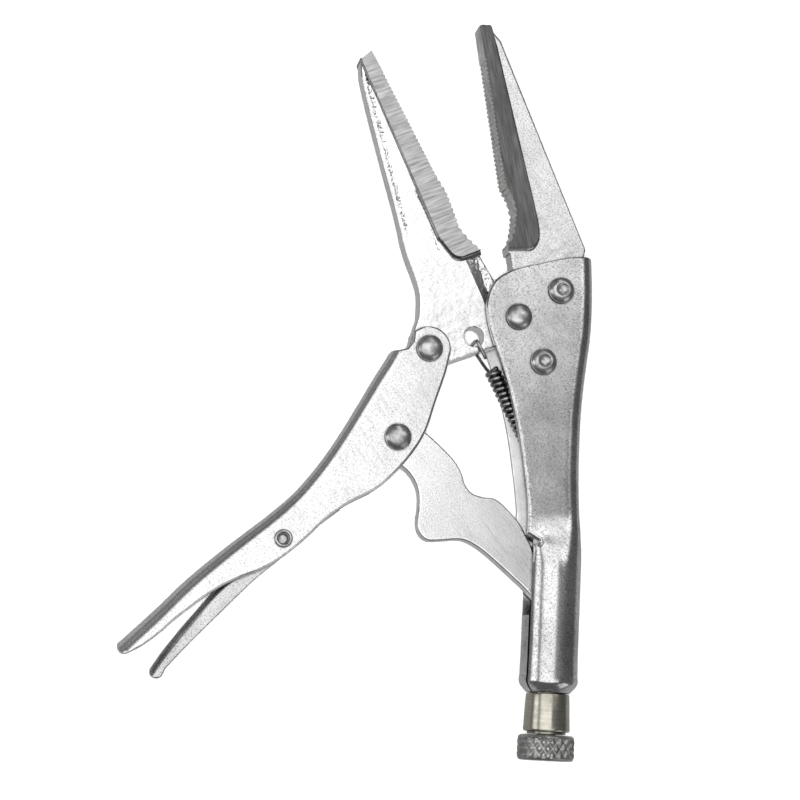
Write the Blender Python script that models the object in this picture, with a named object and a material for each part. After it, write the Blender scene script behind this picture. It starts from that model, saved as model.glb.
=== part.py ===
"""Long-nose locking pliers, open, lying on their side.

The plane of the tool is XY: +Y runs along the fixed handle towards the jaw
tips, +X points to the fixed handle's back, +Z is up from the surface that the
tool lies on. Lengths below are millimetres from the main pivot; ORIGIN moves
the pivot to its place in the part's frame.
"""

import math

import bmesh
import bpy
from mathutils import Vector

MM = 0.001
ORIGIN = Vector((45.9, 20.2, 9.1))

# Driving dimensions
GAP = 0.3
SHEET = 2.2
CHANNEL_HALF = 6.0
HANDLE_BEND = 3.4
FIXED_BEND = 5.0
INNER_BEND = 1.2
JAW_HALF = 3.5
PAD_HALF = 4.7
PAD_TIP_HALF = 3.9
LINK_HALF = 2.5
LEVER_SHEET = 1.4
LEVER_HALF = 3.5
TUBE_RADIUS = 8.8
TUBE_X = 15.4
SEAM_ANGLE = 150.0
SEAM_HALF_ANGLE = 2.5
SHANK_RADIUS = 3.0
HEAD_RADIUS = 4.1
HEAD_HEIGHT = 2.8
TOOTH_PITCH = 1.45
TOOTH_DEPTH = 0.45

# Joint centres
MAIN_PIVOT = (0.0, 0.0)
HANDLE_PIVOT = (-27.7, -12.4)
LINK_PIVOT = (-36.1, -40.7)
LEVER_PIVOT = (-69.2, -74.1)
SCREW_START = (TUBE_X, -115.6)
JAW_RIVETS = {"upper": (13.2, 9.5), "lower": (8.4, -13.6)}
SPRING_HOLE = (-13.3, -7.0)
SPRING_HOLE_RADIUS = 3.1

ANCHORS = {
    "frame": MAIN_PIVOT,
    "moving_jaw": MAIN_PIVOT,
    "moving_handle": HANDLE_PIVOT,
    "link": LINK_PIVOT,
    "lever": LEVER_PIVOT,
    "screw": SCREW_START,
}


# ---------------------------------------------------------------- outlines


def arc(centre, radius, start, end, steps=8):
    """Points along an arc, angles in degrees."""
    points = []
    for i in range(steps + 1):
        angle = math.radians(start + (end - start) * i / steps)
        points.append((centre[0] + radius * math.cos(angle), centre[1] + radius * math.sin(angle)))
    return points


def between(a, b, c, d, t):
    """A Catmull-Rom curve's value on the way from b to c."""
    square = (2 * a - 5 * b + 4 * c - d) * t**2
    cube = (3 * b - a - 3 * c + d) * t**3
    return 0.5 * (2 * b + (c - a) * t + square + cube)


def curve_through(points, steps=4):
    """A smooth open curve through the points."""
    ends = [points[0], *points, points[-1]]
    result = []
    for four in zip(ends, ends[1:], ends[2:], ends[3:]):
        for i in range(steps):
            result.append(tuple(between(*values, i / steps) for values in zip(*four)))
    result.append(tuple(points[-1]))
    return result


def rounded(corners, step_angle=18.0):
    """An open path from (x, y, radius) corners; all but its two ends are turned with an arc."""
    result = [corners[0][:2]]
    for (x, y, radius), last_corner, next_corner in zip(corners[1:], corners, corners[2:]):
        here = Vector((x, y))
        before = (Vector(last_corner[:2]) - here).normalized()
        after = (Vector(next_corner[:2]) - here).normalized()
        half = math.acos(max(-1.0, min(1.0, before.dot(after)))) / 2
        centre = here + (before + after).normalized() * radius / math.sin(half)
        first = here + before * radius / math.tan(half) - centre
        last = here + after * radius / math.tan(half) - centre
        turn = first.angle_signed(last)
        steps = max(1, round(abs(math.degrees(turn)) / step_angle))
        for k in range(steps + 1):
            angle = math.atan2(first.y, first.x) - turn * k / steps
            result.append((centre.x + radius * math.cos(angle), centre.y + radius * math.sin(angle)))
    result.append(corners[-1][:2])
    return result


def toothed(start, end, side):
    """Teeth along a straight face from start to end; roots lie to the given side of it."""
    run = Vector(end) - Vector(start)
    count = round(run.length / TOOTH_PITCH)
    normal = Vector((-run.y, run.x)).normalized() * side * TOOTH_DEPTH
    points = []
    for i in range(count):
        crest = Vector(start) + run * (i + 0.25) / count
        root = Vector(start) + run * (i + 0.75) / count + normal
        points += [tuple(crest), tuple(root)]
    return points


# ---------------------------------------------------------------- objects


def material(name, colour, roughness):
    """A bare metal finish."""
    finish = bpy.data.materials.new(name)
    finish.use_nodes = True
    shader = finish.node_tree.nodes["Principled BSDF"]
    shader.inputs["Base Color"].default_value = (*colour, 1.0)
    shader.inputs["Roughness"].default_value = roughness
    shader.inputs["Metallic"].default_value = 1.0
    return finish


def add_anchors():
    """One empty on each joint's axis."""
    empties = {}
    for name, (x, y) in ANCHORS.items():
        empty = bpy.data.objects.new(name + "_axis", None)
        empty.location = (Vector((x, y, 0.0)) + ORIGIN) * MM
        bpy.context.collection.objects.link(empty)
        empties[name] = empty
    return empties


def add_object(name, vertices, faces, body, finish=None):
    """A mesh from millimetre points, hung on its body's joint axis."""
    anchor = Vector((*ANCHORS[body], 0.0))
    mesh = bpy.data.meshes.new(name)
    mesh.from_pydata([(Vector(v) - anchor) * MM for v in vertices], [], faces)
    shape = bmesh.new()
    shape.from_mesh(mesh)
    bmesh.ops.recalc_face_normals(shape, faces=shape.faces)
    shape.to_mesh(mesh)
    shape.free()
    mesh.shade_smooth()
    mesh.set_sharp_from_angle(angle=math.radians(30))
    item = bpy.data.objects.new(name, mesh)
    item.parent = EMPTIES[body]
    bpy.context.collection.objects.link(item)
    if finish:
        mesh.materials.append(finish)
    return item


def prism(name, outline, low, high, body, finish=None):
    """An outline in the tool's plane, extruded in z. The heights may be functions of (x, y)."""
    count = len(outline)
    vertices = []
    for height in (low, high):
        vertices += [(x, y, height(x, y) if callable(height) else height) for x, y in outline]
    faces = [tuple(reversed(range(count))), tuple(range(count, 2 * count))]
    faces += [(i, (i + 1) % count, count + (i + 1) % count, count + i) for i in range(count)]
    return add_object(name, vertices, faces, body, finish)


def box(name, low, high, body):
    """An upright box between two corners."""
    outline = [(low[0], low[1]), (high[0], low[1]), (high[0], high[1]), (low[0], high[1])]
    return prism(name, outline, low[2], high[2], body)


def turned(name, profile, centre, body, finish=None, axis="z", sides=24):
    """A solid of revolution from (radius, height) points; the ends lie on the axis."""
    vertices = []
    faces = []
    rings = []
    for radius, height in profile:
        ring = []
        for k in range(sides if radius > 0 else 1):
            angle = 2 * math.pi * k / sides
            u, v = radius * math.cos(angle), radius * math.sin(angle)
            if axis == "z":
                point = (centre[0] + u, centre[1] + v, height)
            else:
                point = (centre[0] + u, height, v)
            ring.append(len(vertices))
            vertices.append(point)
        rings.append(ring)
    for one, two in zip(rings, rings[1:]):
        for k in range(sides):
            corners = [one[k % len(one)], one[(k + 1) % len(one)]]
            corners += [two[(k + 1) % len(two)], two[k % len(two)]]
            faces.append(tuple(dict.fromkeys(corners)))
    return add_object(name, vertices, faces, body, finish)


def loft(name, sections, body, finish=None):
    """A closed solid through sections that all have the same number of points."""
    count = len(sections[0])
    vertices = [point for section in sections for point in section]
    faces = [tuple(range(count)), tuple(reversed(range(len(vertices) - count, len(vertices))))]
    for s in range(len(sections) - 1):
        for i in range(count):
            j = (i + 1) % count
            faces.append((s * count + i, s * count + j, (s + 1) * count + j, (s + 1) * count + i))
    return add_object(name, vertices, faces, body, finish)


def combine(target, tool, operation):
    """An exact boolean that stays on the target; the tool is hidden."""
    step = target.modifiers.new(operation.lower() + "_" + tool.name, "BOOLEAN")
    step.operation = operation
    step.solver = "EXACT"
    step.object = tool
    tool.hide_render = True
    tool.display_type = "WIRE"


def drill(target, centre, radius, body):
    """A round hole right through, along z."""
    profile = [(0, -20), (radius, -20), (radius, 20), (0, 20)]
    combine(target, turned("hole_tool", profile, centre, body), "DIFFERENCE")


# ---------------------------------------------------------------- channels


def smooth_step(value, start, end):
    """0 before start, 1 after end, eased between."""
    t = max(0.0, min(1.0, (value - start) / (end - start)))
    return t * t * (3 - 2 * t)


def channel_section(origin, across, depth, half, bend, steps=4):
    """A bar's section: flat walls at +-half, rounded towards the spine at origin."""
    corner = half - bend
    local = [(depth, half)]
    local += [(bend - bend * math.sin(a), corner + bend * math.cos(a)) for a in quarter(steps)]
    local += [(bend - bend * math.sin(a), -corner - bend * math.cos(a)) for a in reversed(quarter(steps))]
    local += [(depth, -half)]
    return [(origin[0] + across[0] * d, origin[1] + across[1] * d, z) for d, z in local]


def quarter(steps):
    """Angles from 0 to 90 degrees."""
    return [math.pi / 2 * i / steps for i in range(steps + 1)]


def channel(name, spine, across, depth, half, bends, sheet, outline, end_wall, body, finish):
    """A folded channel: a bar along the spine, trimmed to the outline and hollowed from its open side.

    Its bends widen from the first radius at the front to the second at the tail.
    """
    across = Vector(across).normalized()
    path = curve_through(spine)
    radii = []
    for i in range(len(path)):
        radii.append(bends[0] + (bends[1] - bends[0]) * smooth_step(i / len(path), 0.35, 0.95))
    outside = [channel_section(p, across, depth, half, radius) for p, radius in zip(path, radii)]
    bar = loft(name, outside, body, finish)
    combine(bar, prism(name + "_outline_tool", outline, -20, 20, body), "INTERSECT")
    run = Vector(path[-1]) - Vector(path[-2])
    shift = across * sheet
    sections = []
    for p, radius in zip(path, radii):
        if (Vector(p) - Vector(end_wall)).dot(run) < 0:
            inner = (p[0] + shift.x, p[1] + shift.y)
            bend = max(radius - sheet, 0.8)
            sections.append(channel_section(inner, across, depth + 5, half - sheet, bend))
    combine(bar, loft(name + "_hollow_tool", sections, body), "DIFFERENCE")
    return bar


# ---------------------------------------------------------------- fixed handle

# (y, spine x, wall edge x): the wall edge is left long where the outline is trimmed afterwards
HANDLE_STATIONS = [
    (23.5, 23.5, -14.0),
    (16.0, 24.1, -14.0),
    (8.0, 24.5, -14.0),
    (1.0, 24.5, -14.0),
    (-5.0, 24.2, -14.0),
    (-11.0, 23.6, -14.0),
    (-18.0, 22.9, -14.0),
    (-25.0, 22.4, -12.0),
    (-32.0, 22.1, -8.0),
    (-40.0, 22.1, -3.0),
    (-48.0, 22.2, 1.0),
    (-54.0, 22.5, 3.0),
    (-59.0, 22.8, 4.0),
    (-61.5, 23.0, 4.2),
    (-64.0, 23.2, 4.2),
    (-66.0, 23.3, 4.2),
    (-67.6, 23.4, 4.2),
    (-69.0, 23.5, 4.2),
    (-70.6, 23.6, 4.2),
    (-72.5, 23.7, 4.2),
    (-74.5, 23.8, 4.2),
    (-77.0, 23.9, 4.2),
    (-86.0, 24.2, 4.2),
    (-98.0, 24.3, 4.2),
]
BULGE_FROM, BULGE_TO = -58.0, -75.0
CURL_FROM, CURL_TO = -67.5, -70.8
NEAR_EDGE = [
    (26.0, 21.1),
    (17.0, 20.9),
    (6.0, 17.8),
    (-3.0, 14.7),
    (-8.2, 10.6),
    (-10.1, 5.0),
    (-10.0, 0.5),
    (-8.0, -6.9),
    (-3.2, -19.1),
    (-0.3, -28.6),
    (1.8, -37.0),
    (4.0, -49.0),
    (5.4, -59.0),
    (5.7, -67.2),
]
FAR_EDGE_SHIFT = 1.2
NOTCH = [(9.5, -69.2), (9.7, -69.8), (9.4, -70.4)]
# (y, change of outer radius, change of inner radius)
TUBE_END = [
    (-104.0, 0.0, 0.0),
    (-111.6, 0.3, 0.3),
    (-113.2, -0.4, 0.1),
    (-114.4, -1.3, -0.3),
    (-115.2, -2.3, -0.4),
]


def sheet_half(spine_x, edge_x, half, bend, ring_radius, bulge, curl, seam):
    """Half of the handle's section, from the spine's middle to the wall's edge.

    It is mixed from a folded channel and a rolled tube: bulge mixes the spine
    and the bend, curl mixes the wall's edge, which ends at the seam's angle.
    """
    points = []
    flat = [(spine_x, 0.0, 0.0), (spine_x, half - bend, 12.0)]
    steps = 5
    for i in range(1, steps + 1):
        a = math.pi / 2 * i / steps
        x = spine_x - bend + bend * math.cos(a)
        flat.append((x, half - bend + bend * math.sin(a), 12.0 + 63.0 * i / steps))
    wall = spine_x - bend
    for i in range(1, 7):
        angle = 75.0 + (seam - 75.0) * i / 6
        flat.append((wall + (edge_x - wall) * i / 6, half, angle))
    for index, (x, z, angle) in enumerate(flat):
        along_wall = max(0.0, (index - 6) / 6)
        mix = bulge + (curl - bulge) * along_wall**2
        ring_x = TUBE_X + ring_radius * math.cos(math.radians(angle))
        ring_z = ring_radius * math.sin(math.radians(angle))
        points.append((x + (ring_x - x) * mix, z + (ring_z - z) * mix))
    return points


def sheet_section(y, spine_x, edge_x, half, bend, radius, sheet, bulge, curl):
    """A closed C-shaped section; the far wall wraps round to the seam on the near side."""
    loops = []
    for seam in (SEAM_ANGLE - SEAM_HALF_ANGLE, 360.0 - SEAM_ANGLE - SEAM_HALF_ANGLE):
        outer = sheet_half(spine_x, edge_x, half, bend, radius, bulge, curl, seam)
        inner = sheet_half(
            spine_x - sheet, edge_x, half - sheet, INNER_BEND, radius - sheet, bulge, curl, seam
        )
        loops.append((outer, inner))
    (near_outer, near_inner), (far_outer, far_inner) = loops
    loop = list(reversed(near_outer)) + [(x, -z) for x, z in far_outer[1:]]
    loop += [(x, -z) for x, z in reversed(far_inner)] + near_inner[1:]
    return [(x, y, z) for x, z in loop]


def capped_sheet(name, sections, body, finish):
    """A lofted C-section whose ends are closed by the sheet's thickness only."""
    count = len(sections[0])
    half = count // 2
    vertices = [point for section in sections for point in section]
    faces = []
    for s in range(len(sections) - 1):
        for i in range(count):
            j = (i + 1) % count
            faces.append((s * count + i, s * count + j, (s + 1) * count + j, (s + 1) * count + i))
    for base in (0, len(vertices) - count):
        for i in range(half - 1):
            faces.append((base + i, base + i + 1, base + count - 2 - i, base + count - 1 - i))
    return add_object(name, vertices, faces, body, finish)


def make_fixed_handle(finish):
    """Channel at the jaws, tube at the rear, one folded sheet with a lanced spring tab."""
    sections = []
    for y, spine_x, edge_x in HANDLE_STATIONS:
        bulge = smooth_step(-y, -BULGE_FROM, -BULGE_TO)
        curl = smooth_step(-y, -CURL_FROM, -CURL_TO)
        sections.append(
            sheet_section(y, spine_x, edge_x, CHANNEL_HALF, FIXED_BEND, TUBE_RADIUS, SHEET, bulge, curl)
        )
    for y, outer_change, inner_change in TUBE_END:
        sheet = SHEET + outer_change - inner_change
        sections.append(sheet_section(y, 0, 0, 1, 1, TUBE_RADIUS + outer_change, sheet, 1, 1))
    handle = capped_sheet("fixed_handle", sections, "frame", finish)

    edge = curve_through(NEAR_EDGE, 3)
    near = edge + NOTCH + [(5.2, -70.6), (-30.0, -70.6), (-30.0, 30.0), (26.0, 30.0)]
    far_edge = [(x - FAR_EDGE_SHIFT * smooth_step(-y, 0.0, 12.0), y) for x, y in edge]
    far = far_edge + NOTCH + [(4.0, -70.6), (-30.0, -70.6), (-30.0, 30.0), (26.0, 30.0)]
    combine(handle, prism("near_trim_tool", near, 0.0, 20.0, "frame"), "DIFFERENCE")
    combine(handle, prism("far_trim_tool", far, -20.0, 0.0, "frame"), "DIFFERENCE")
    reach = LINK_HALF + 0.4
    link_slot = box("link_slot_tool", (-5.0, -92.0, -reach), (TUBE_X - 3, -69.0, 4.1), "frame")
    combine(handle, link_slot, "DIFFERENCE")
    link_gap = box("link_gap_tool", (-5.0, -69.5, -reach), (TUBE_X - 3.4, -62.0, reach), "frame")
    combine(handle, link_gap, "DIFFERENCE")
    window = box("tab_window_tool", (18.0, -63.0, -2.6), (30.0, -50.0, 2.6), "frame")
    combine(handle, window, "DIFFERENCE")
    tab = [(22.4, -65.4), (20.6, -66.4), (18.6, -61.4), (12.9, -54.6), (14.0, -53.2), (20.2, -60.0)]
    combine(handle, prism("spring_tab", tab, -2.2, 2.2, "frame"), "UNION")
    drill(handle, MAIN_PIVOT, SHANK_RADIUS + GAP, "frame")
    for centre in JAW_RIVETS.values():
        drill(handle, centre, SHANK_RADIUS + GAP, "frame")
    return handle


# ---------------------------------------------------------------- jaws

FIXED_GRIP = ((-15.9, 92.4), (-14.2, 84.0), (-6.0, 43.0))
FIXED_THROAT = [(-6.0, 43.0), (-3.3, 38.6), (-2.0, 34.0), (-2.2, 29.0), (-3.0, 24.6)]
MOVING_GRIP = ((-50.6, 81.9), (-46.8, 75.6), (-28.2, 43.4))
MOVING_THROAT = [(-28.2, 43.4), (-24.4, 38.0), (-21.6, 31.6), (-19.8, 27.0), (-16.4, 23.6), (-12.9, 20.9)]


def throat_teeth(points, side):
    """Larger teeth along the hollow part of the jaw."""
    result = []
    for start, end in zip(points, points[1:]):
        run = Vector(end) - Vector(start)
        count = max(1, round(run.length / (TOOTH_PITCH * 1.35)))
        normal = Vector((-run.y, run.x)).normalized() * side * TOOTH_DEPTH * 1.3
        for i in range(count):
            result.append(tuple(Vector(start) + run * i / count))
            result.append(tuple(Vector(start) + run * (i + 0.5) / count + normal))
    return result


def pad_height(tip_y, base_y):
    """The pad's half thickness, growing from the tip to the base."""

    def height(x, y):
        share = max(0.0, min(1.0, (tip_y - y) / (tip_y - base_y)))
        return PAD_TIP_HALF + (PAD_HALF - PAD_TIP_HALF) * share

    return height


def make_fixed_jaw(finish):
    """Forged jaw with its root between the handle's walls, hollowed round the main pivot."""
    body = [(-16.2, 94.3), (-15.4, 94.9), (-13.4, 94.9), (-11.2, 92.3), (-9.0, 90.0)]
    root = [(-9.0, 90.0, 0), (10.9, 46.8, 30.0), (21.4, 24.2, 1.0), (20.8, 20.6, 2.0), (20.9, 4.0, 6.0)]
    root += [(20.4, -10.0, 4.0), (18.6, -19.8, 3.0), (4.6, -20.2, 4.0), (2.7, -12.0, 0)]
    body += rounded(root)[1:]
    body += arc(MAIN_PIVOT, 7.2, -62.0, 66.0, 8)
    body += [(0.4, 9.0), (-1.3, 12.5), (-2.3, 17.0), (-3.7, 23.8), (-2.0, 26.0), (-1.2, 33.0)]
    body += [(-2.6, 38.0), (-5.2, 43.0), (-13.4, 84.0), (-15.3, 92.4)]
    jaw = prism("fixed_jaw", body, -JAW_HALF, JAW_HALF, "frame", finish)
    teeth = [FIXED_GRIP[0]] + toothed(FIXED_GRIP[1], FIXED_GRIP[2], 1) + throat_teeth(FIXED_THROAT, 1)
    pad = [(-16.3, 94.1), *teeth, (-3.9, 23.6), (-3.8, 22.2)]
    back = [(-3.8, 22.2, 0), (6.0, 23.1, 4.2), (5.5, 30.5, 12.0), (-10.8, 88.4, 4.0)]
    back += [(-12.6, 94.8, 0.6), (-16.3, 94.1, 0)]
    pad += rounded(back)[1:-1]
    height = pad_height(94.0, 45.0)
    lower = lambda x, y: -height(x, y)
    combine(jaw, prism("fixed_pad_tool", pad, lower, height, "frame"), "UNION")
    for centre in JAW_RIVETS.values():
        drill(jaw, centre, SHANK_RADIUS + GAP, "frame")
    return jaw


def make_moving_jaw(finish):
    """Forged jaw whose root carries the main pivot, the handle's rivet and the spring's hook."""
    back = [(-53.9, 78.6), (-53.6, 75.0), (-52.9, 71.6), (-49.6, 60.3), (-44.3, 43.6)]
    back += [(-39.8, 29.8), (-36.6, 18.8), (-32.9, 10.0), (-31.4, 5.0), (-31.2, -2.0)]
    body = curve_through(back, 2)
    body += arc(HANDLE_PIVOT, 6.0, 165.0, 285.0, 7)
    body += arc(MAIN_PIVOT, 6.2, -66.0, 78.0, 9)
    body += curve_through([(-2.8, 7.6), (-6.9, 11.2), (-12.3, 19.3)], 2)
    body += [(-13.6, 20.4), (-17.0, 23.0), (-20.6, 26.6), (-22.4, 31.4), (-25.2, 37.8)]
    body += [(-29.0, 43.4), (-47.6, 75.6), (-51.2, 81.3)]
    jaw = prism("moving_jaw", body, -JAW_HALF, JAW_HALF, "moving_jaw", finish)
    teeth = toothed(MOVING_GRIP[1], MOVING_GRIP[2], -1) + throat_teeth(MOVING_THROAT, -1)
    pad = [MOVING_GRIP[0], *teeth, (-12.8, 20.6)]
    back = [(-12.8, 20.6, 0), (-20.2, 17.0, 3.6), (-26.0, 23.4, 5.0), (-53.7, 78.8, 0.5), (-50.6, 81.9, 0)]
    pad += rounded(back)[1:-1]
    height = pad_height(82.0, 40.0)
    lower = lambda x, y: -height(x, y)
    combine(jaw, prism("moving_pad_tool", pad, lower, height, "moving_jaw"), "UNION")
    drill(jaw, MAIN_PIVOT, SHANK_RADIUS + GAP, "moving_jaw")
    drill(jaw, HANDLE_PIVOT, SHANK_RADIUS + GAP, "moving_jaw")
    drill(jaw, SPRING_HOLE, SPRING_HOLE_RADIUS, "moving_jaw")
    return jaw


# ---------------------------------------------------------------- handle side

HANDLE_SPINE = [
    (-29.5, 7.0),
    (-35.2, -5.4),
    (-39.8, -15.2),
    (-43.6, -22.2),
    (-48.0, -30.7),
    (-52.9, -39.9),
    (-58.3, -48.9),
    (-65.2, -58.3),
    (-72.9, -66.1),
    (-85.7, -77.3),
    (-96.7, -87.6),
    (-105.6, -97.3),
    (-113.1, -105.1),
    (-120.0, -112.1),
]
HANDLE_EDGE = [
    (-21.2, -14.8),
    (-22.2, -20.0),
    (-24.6, -28.2),
    (-27.4, -38.2),
    (-31.2, -45.2),
    (-35.8, -51.2),
    (-41.5, -56.9),
    (-49.0, -61.4),
    (-55.8, -66.6),
    (-62.6, -73.8),
    (-69.3, -79.9),
    (-75.5, -83.9),
    (-81.8, -86.8),
    (-89.4, -91.4),
    (-98.9, -99.4),
    (-104.2, -104.6),
    (-108.6, -108.2),
    (-112.0, -110.2),
]
LEVER_SPINE = [
    (-48.0, -57.8),
    (-56.0, -61.6),
    (-63.5, -66.6),
    (-71.5, -72.6),
    (-79.6, -80.6),
    (-88.2, -90.2),
    (-93.3, -96.8),
    (-98.2, -103.2),
    (-103.2, -110.4),
    (-107.5, -117.5),
]
LEVER_EDGE = [
    (-52.4, -64.2),
    (-60.0, -70.6),
    (-69.2, -79.8),
    (-77.0, -87.0),
    (-86.8, -97.7),
    (-95.3, -107.2),
    (-101.4, -114.6),
]


def make_moving_handle(finish):
    """Folded channel, open towards the fixed handle, with two round ears at the front."""
    ears = [(-36.6, -13.5), (-34.6, -12.8), (-32.9, -10.6)]
    ears += arc((-27.7, -12.2), 6.9, 135.0, -20.0, 9)
    nose = arc((-113.6, -108.5), 2.3, -65.0, -224.0, 7)
    outline = ears + curve_through(HANDLE_EDGE, 2) + nose
    outline += [(-125.0, -104.0), (-60.0, -10.0), (-40.0, -14.0)]
    handle = channel(
        "moving_handle", HANDLE_SPINE, (0.74, -0.67), 40.0, CHANNEL_HALF, (HANDLE_BEND, 5.6), SHEET,
        outline, (-112.5, -103.9), "moving_handle", finish,
    )
    drill(handle, HANDLE_PIVOT, SHANK_RADIUS + GAP, "moving_handle")
    drill(handle, LINK_PIVOT, SHANK_RADIUS + GAP, "moving_handle")
    drill(handle, LEVER_PIVOT, 1.9 + GAP, "moving_handle")
    return handle


def make_toggle_link(finish):
    """Flat wavy plate; its rear end is rounded to bear on the screw's tip."""
    upper = curve_through([
        (12.0, -78.6), (5.3, -66.2), (1.6, -61.7), (-3.6, -57.3), (-7.8, -56.8), (-11.4, -55.8),
        (-13.7, -53.4), (-15.0, -49.9), (-17.6, -46.0), (-22.5, -41.5), (-28.5, -36.8),
    ], 3)
    lower = curve_through([
        (-37.5, -47.0), (-33.4, -49.4), (-30.4, -52.2), (-28.4, -56.0), (-27.9, -60.5), (-28.2, -65.8),
        (-27.2, -69.4), (-24.6, -71.3), (-20.5, -71.1), (-14.3, -70.4), (-9.8, -71.9), (-4.8, -75.2),
        (5.5, -83.4),
    ], 3)
    outline = upper + arc(LINK_PIVOT, 6.4, 60.0, 245.0, 9)
    outline += lower + arc((14.5, -85.0), 5.0, -135.0, 20.0, 8)
    link = prism("toggle_link", outline, -LINK_HALF, LINK_HALF, "link", finish)
    drill(link, LINK_PIVOT, SHANK_RADIUS + GAP, "link")
    return link


def make_release_lever(finish):
    """Narrow channel nested in the moving handle; its front arm reaches towards the link."""
    nose = arc((-103.8, -115.4), 2.1, -45.0, -215.0, 7)
    outline = curve_through(LEVER_EDGE, 2) + nose + [(-112.0, -112.0), (-60.0, -50.0), (-51.0, -58.0)]
    lever = channel(
        "release_lever", LEVER_SPINE, (0.76, -0.65), 20.0, LEVER_HALF, (2.4, 3.3), LEVER_SHEET,
        outline, (-103.4, -112.6), "lever", finish,
    )
    drill(lever, LEVER_PIVOT, 1.9 + GAP, "lever")
    return lever


# ---------------------------------------------------------------- rivets


def dome(face, radius, height, steps=5):
    """Half of a rivet's head, from its rim at the sheet to its crown."""
    rim = 0.5
    points = [(radius, face), (radius, face + rim)]
    for i in range(1, steps + 1):
        a = math.pi / 2 * i / steps
        across = radius * math.cos(a) if i < steps else 0.0
        points.append((across, face + rim + (height - rim) * math.sin(a)))
    return points


def mirrored(profile):
    """The same profile below the mid-plane, read from crown to shank."""
    return [(r, -z) for r, z in reversed(profile)]


def make_rivet(name, centre, body, finish, dimple=False):
    """Shank between two heads; a semi-tubular rivet has a dimple in its near head."""
    face = CHANNEL_HALF + GAP
    far = dome(face, HEAD_RADIUS, HEAD_HEIGHT)
    near = dome(face, HEAD_RADIUS, HEAD_HEIGHT)
    if dimple:
        near = [(HEAD_RADIUS, face), (HEAD_RADIUS, face + 1.0), (3.5, face + 2.0), (2.6, face + 2.5)]
        near += [(2.0, face + 2.4), (1.3, face + 1.6), (0.0, face + 1.2)]
    profile = mirrored(far) + [(SHANK_RADIUS, -face), (SHANK_RADIUS, face)] + near
    return turned(name, profile, centre, body, finish)


def make_lever_rivet(finish):
    """Small hollow rivet with a rolled rim."""
    face = CHANNEL_HALF + GAP
    half = [(1.9, face), (2.7, face), (2.7, face + 0.5), (2.3, face + 0.8), (1.8, face + 0.6)]
    half += [(1.4, face - 1.8), (0.0, face - 2.2)]
    profile = mirrored(half) + half
    return turned("release_lever_rivet", profile, LEVER_PIVOT, "moving_handle", finish, sides=20)


# ---------------------------------------------------------------- spring and screw

COIL_FRONT = Vector((-6.5, -16.5, 0.0))
COIL_REAR = Vector((7.5, -41.4, 0.0))
COIL_RADIUS = 2.6
WIRE_RADIUS = 0.5


def tube(name, stations, body, finish, sides=8):
    """A round bar along (point, radius) stations; frames are carried along without twist."""
    up = Vector((0, 0, 1))
    sections = []
    for i, (point, radius) in enumerate(stations):
        before = stations[max(0, i - 1)][0]
        after = stations[min(len(stations) - 1, i + 1)][0]
        along = (after - before).normalized()
        up = (up - along * up.dot(along)).normalized()
        side = along.cross(up)
        ring = []
        for k in range(sides):
            a = 2 * math.pi * k / sides
            ring.append(tuple(point + (side * math.cos(a) + up * math.sin(a)) * radius))
        sections.append(ring)
    return loft(name, sections, body, finish)


def make_tension_spring(finish):
    """The coil's outer shape with a hook at each end, one through the jaw, one over the tab."""
    axis = (COIL_REAR - COIL_FRONT).normalized()
    hole = Vector((SPRING_HOLE[0] + 0.8, SPRING_HOLE[1] - 1.3, 0.0))
    tab_tip = Vector((13.4, -53.9, 0.0))
    rise = Vector((0, 0, 1))
    front_hook = [
        hole + rise * 4.3 + Vector((2.5, -4.6, 0)),
        hole + rise * 4.4 + Vector((0.3, -0.7, 0)),
        hole + rise * 2.6,
        hole - rise * 2.6,
        hole - rise * 4.4 + Vector((0.3, -0.7, 0)),
        hole - rise * 4.3 + Vector((2.6, -3.9, 0)),
        Vector((-7.5, -15.8, -2.7)),
        COIL_FRONT - axis * 0.7 - rise * 0.8,
    ]
    rear_hook = [
        COIL_REAR + axis * 0.7 - rise * 0.8,
        COIL_REAR + axis * 3.5 - rise * 2.9,
        tab_tip + Vector((-1.6, 2.6, -3.0)),
        tab_tip + Vector((0.8, -1.2, -3.0)),
    ]
    stations = [(p, WIRE_RADIUS) for p in front_hook]
    stations += [(COIL_FRONT, 2.2), (COIL_FRONT + axis * 0.5, COIL_RADIUS)]
    stations += [(COIL_REAR - axis * 0.5, COIL_RADIUS), (COIL_REAR, 2.2)]
    stations += [(p, WIRE_RADIUS) for p in rear_hook]
    return tube("tension_spring", stations, "frame", finish, sides=10)


def make_adjusting_screw(finish):
    """Threaded stud with a flared collar and a spigot for the knob."""
    profile = [
        (0.0, -91.7), (3.2, -91.7), (4.4, -92.6), (5.75, -94.2), (5.75, -113.0), (5.3, -113.6),
        (5.3, -115.6), (6.6, -115.6), (6.75, -117.6), (7.1, -126.2), (6.9, -126.9), (5.85, -127.0),
        (5.85, -127.6), (3.0, -127.6), (3.0, -132.6), (0.0, -132.6),
    ]
    return turned("adjusting_screw", profile, SCREW_START, "screw", finish, axis="y", sides=32)


def make_knurled_knob(finish):
    """The screw's head, a rounded disc with a blind bore for the spigot."""
    profile = [
        (0.0, -132.9), (3.3, -132.9), (3.3, -127.9), (7.6, -127.9), (8.4, -128.2), (8.7, -129.0),
        (8.7, -134.6), (8.4, -135.3), (7.6, -135.6), (0.0, -135.6),
    ]
    return turned("knurled_knob", profile, SCREW_START, "screw", finish, axis="y", sides=32)


# ---------------------------------------------------------------- assembly

for old in list(bpy.data.objects):
    bpy.data.objects.remove(old, do_unlink=True)

EMPTIES = add_anchors()

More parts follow.
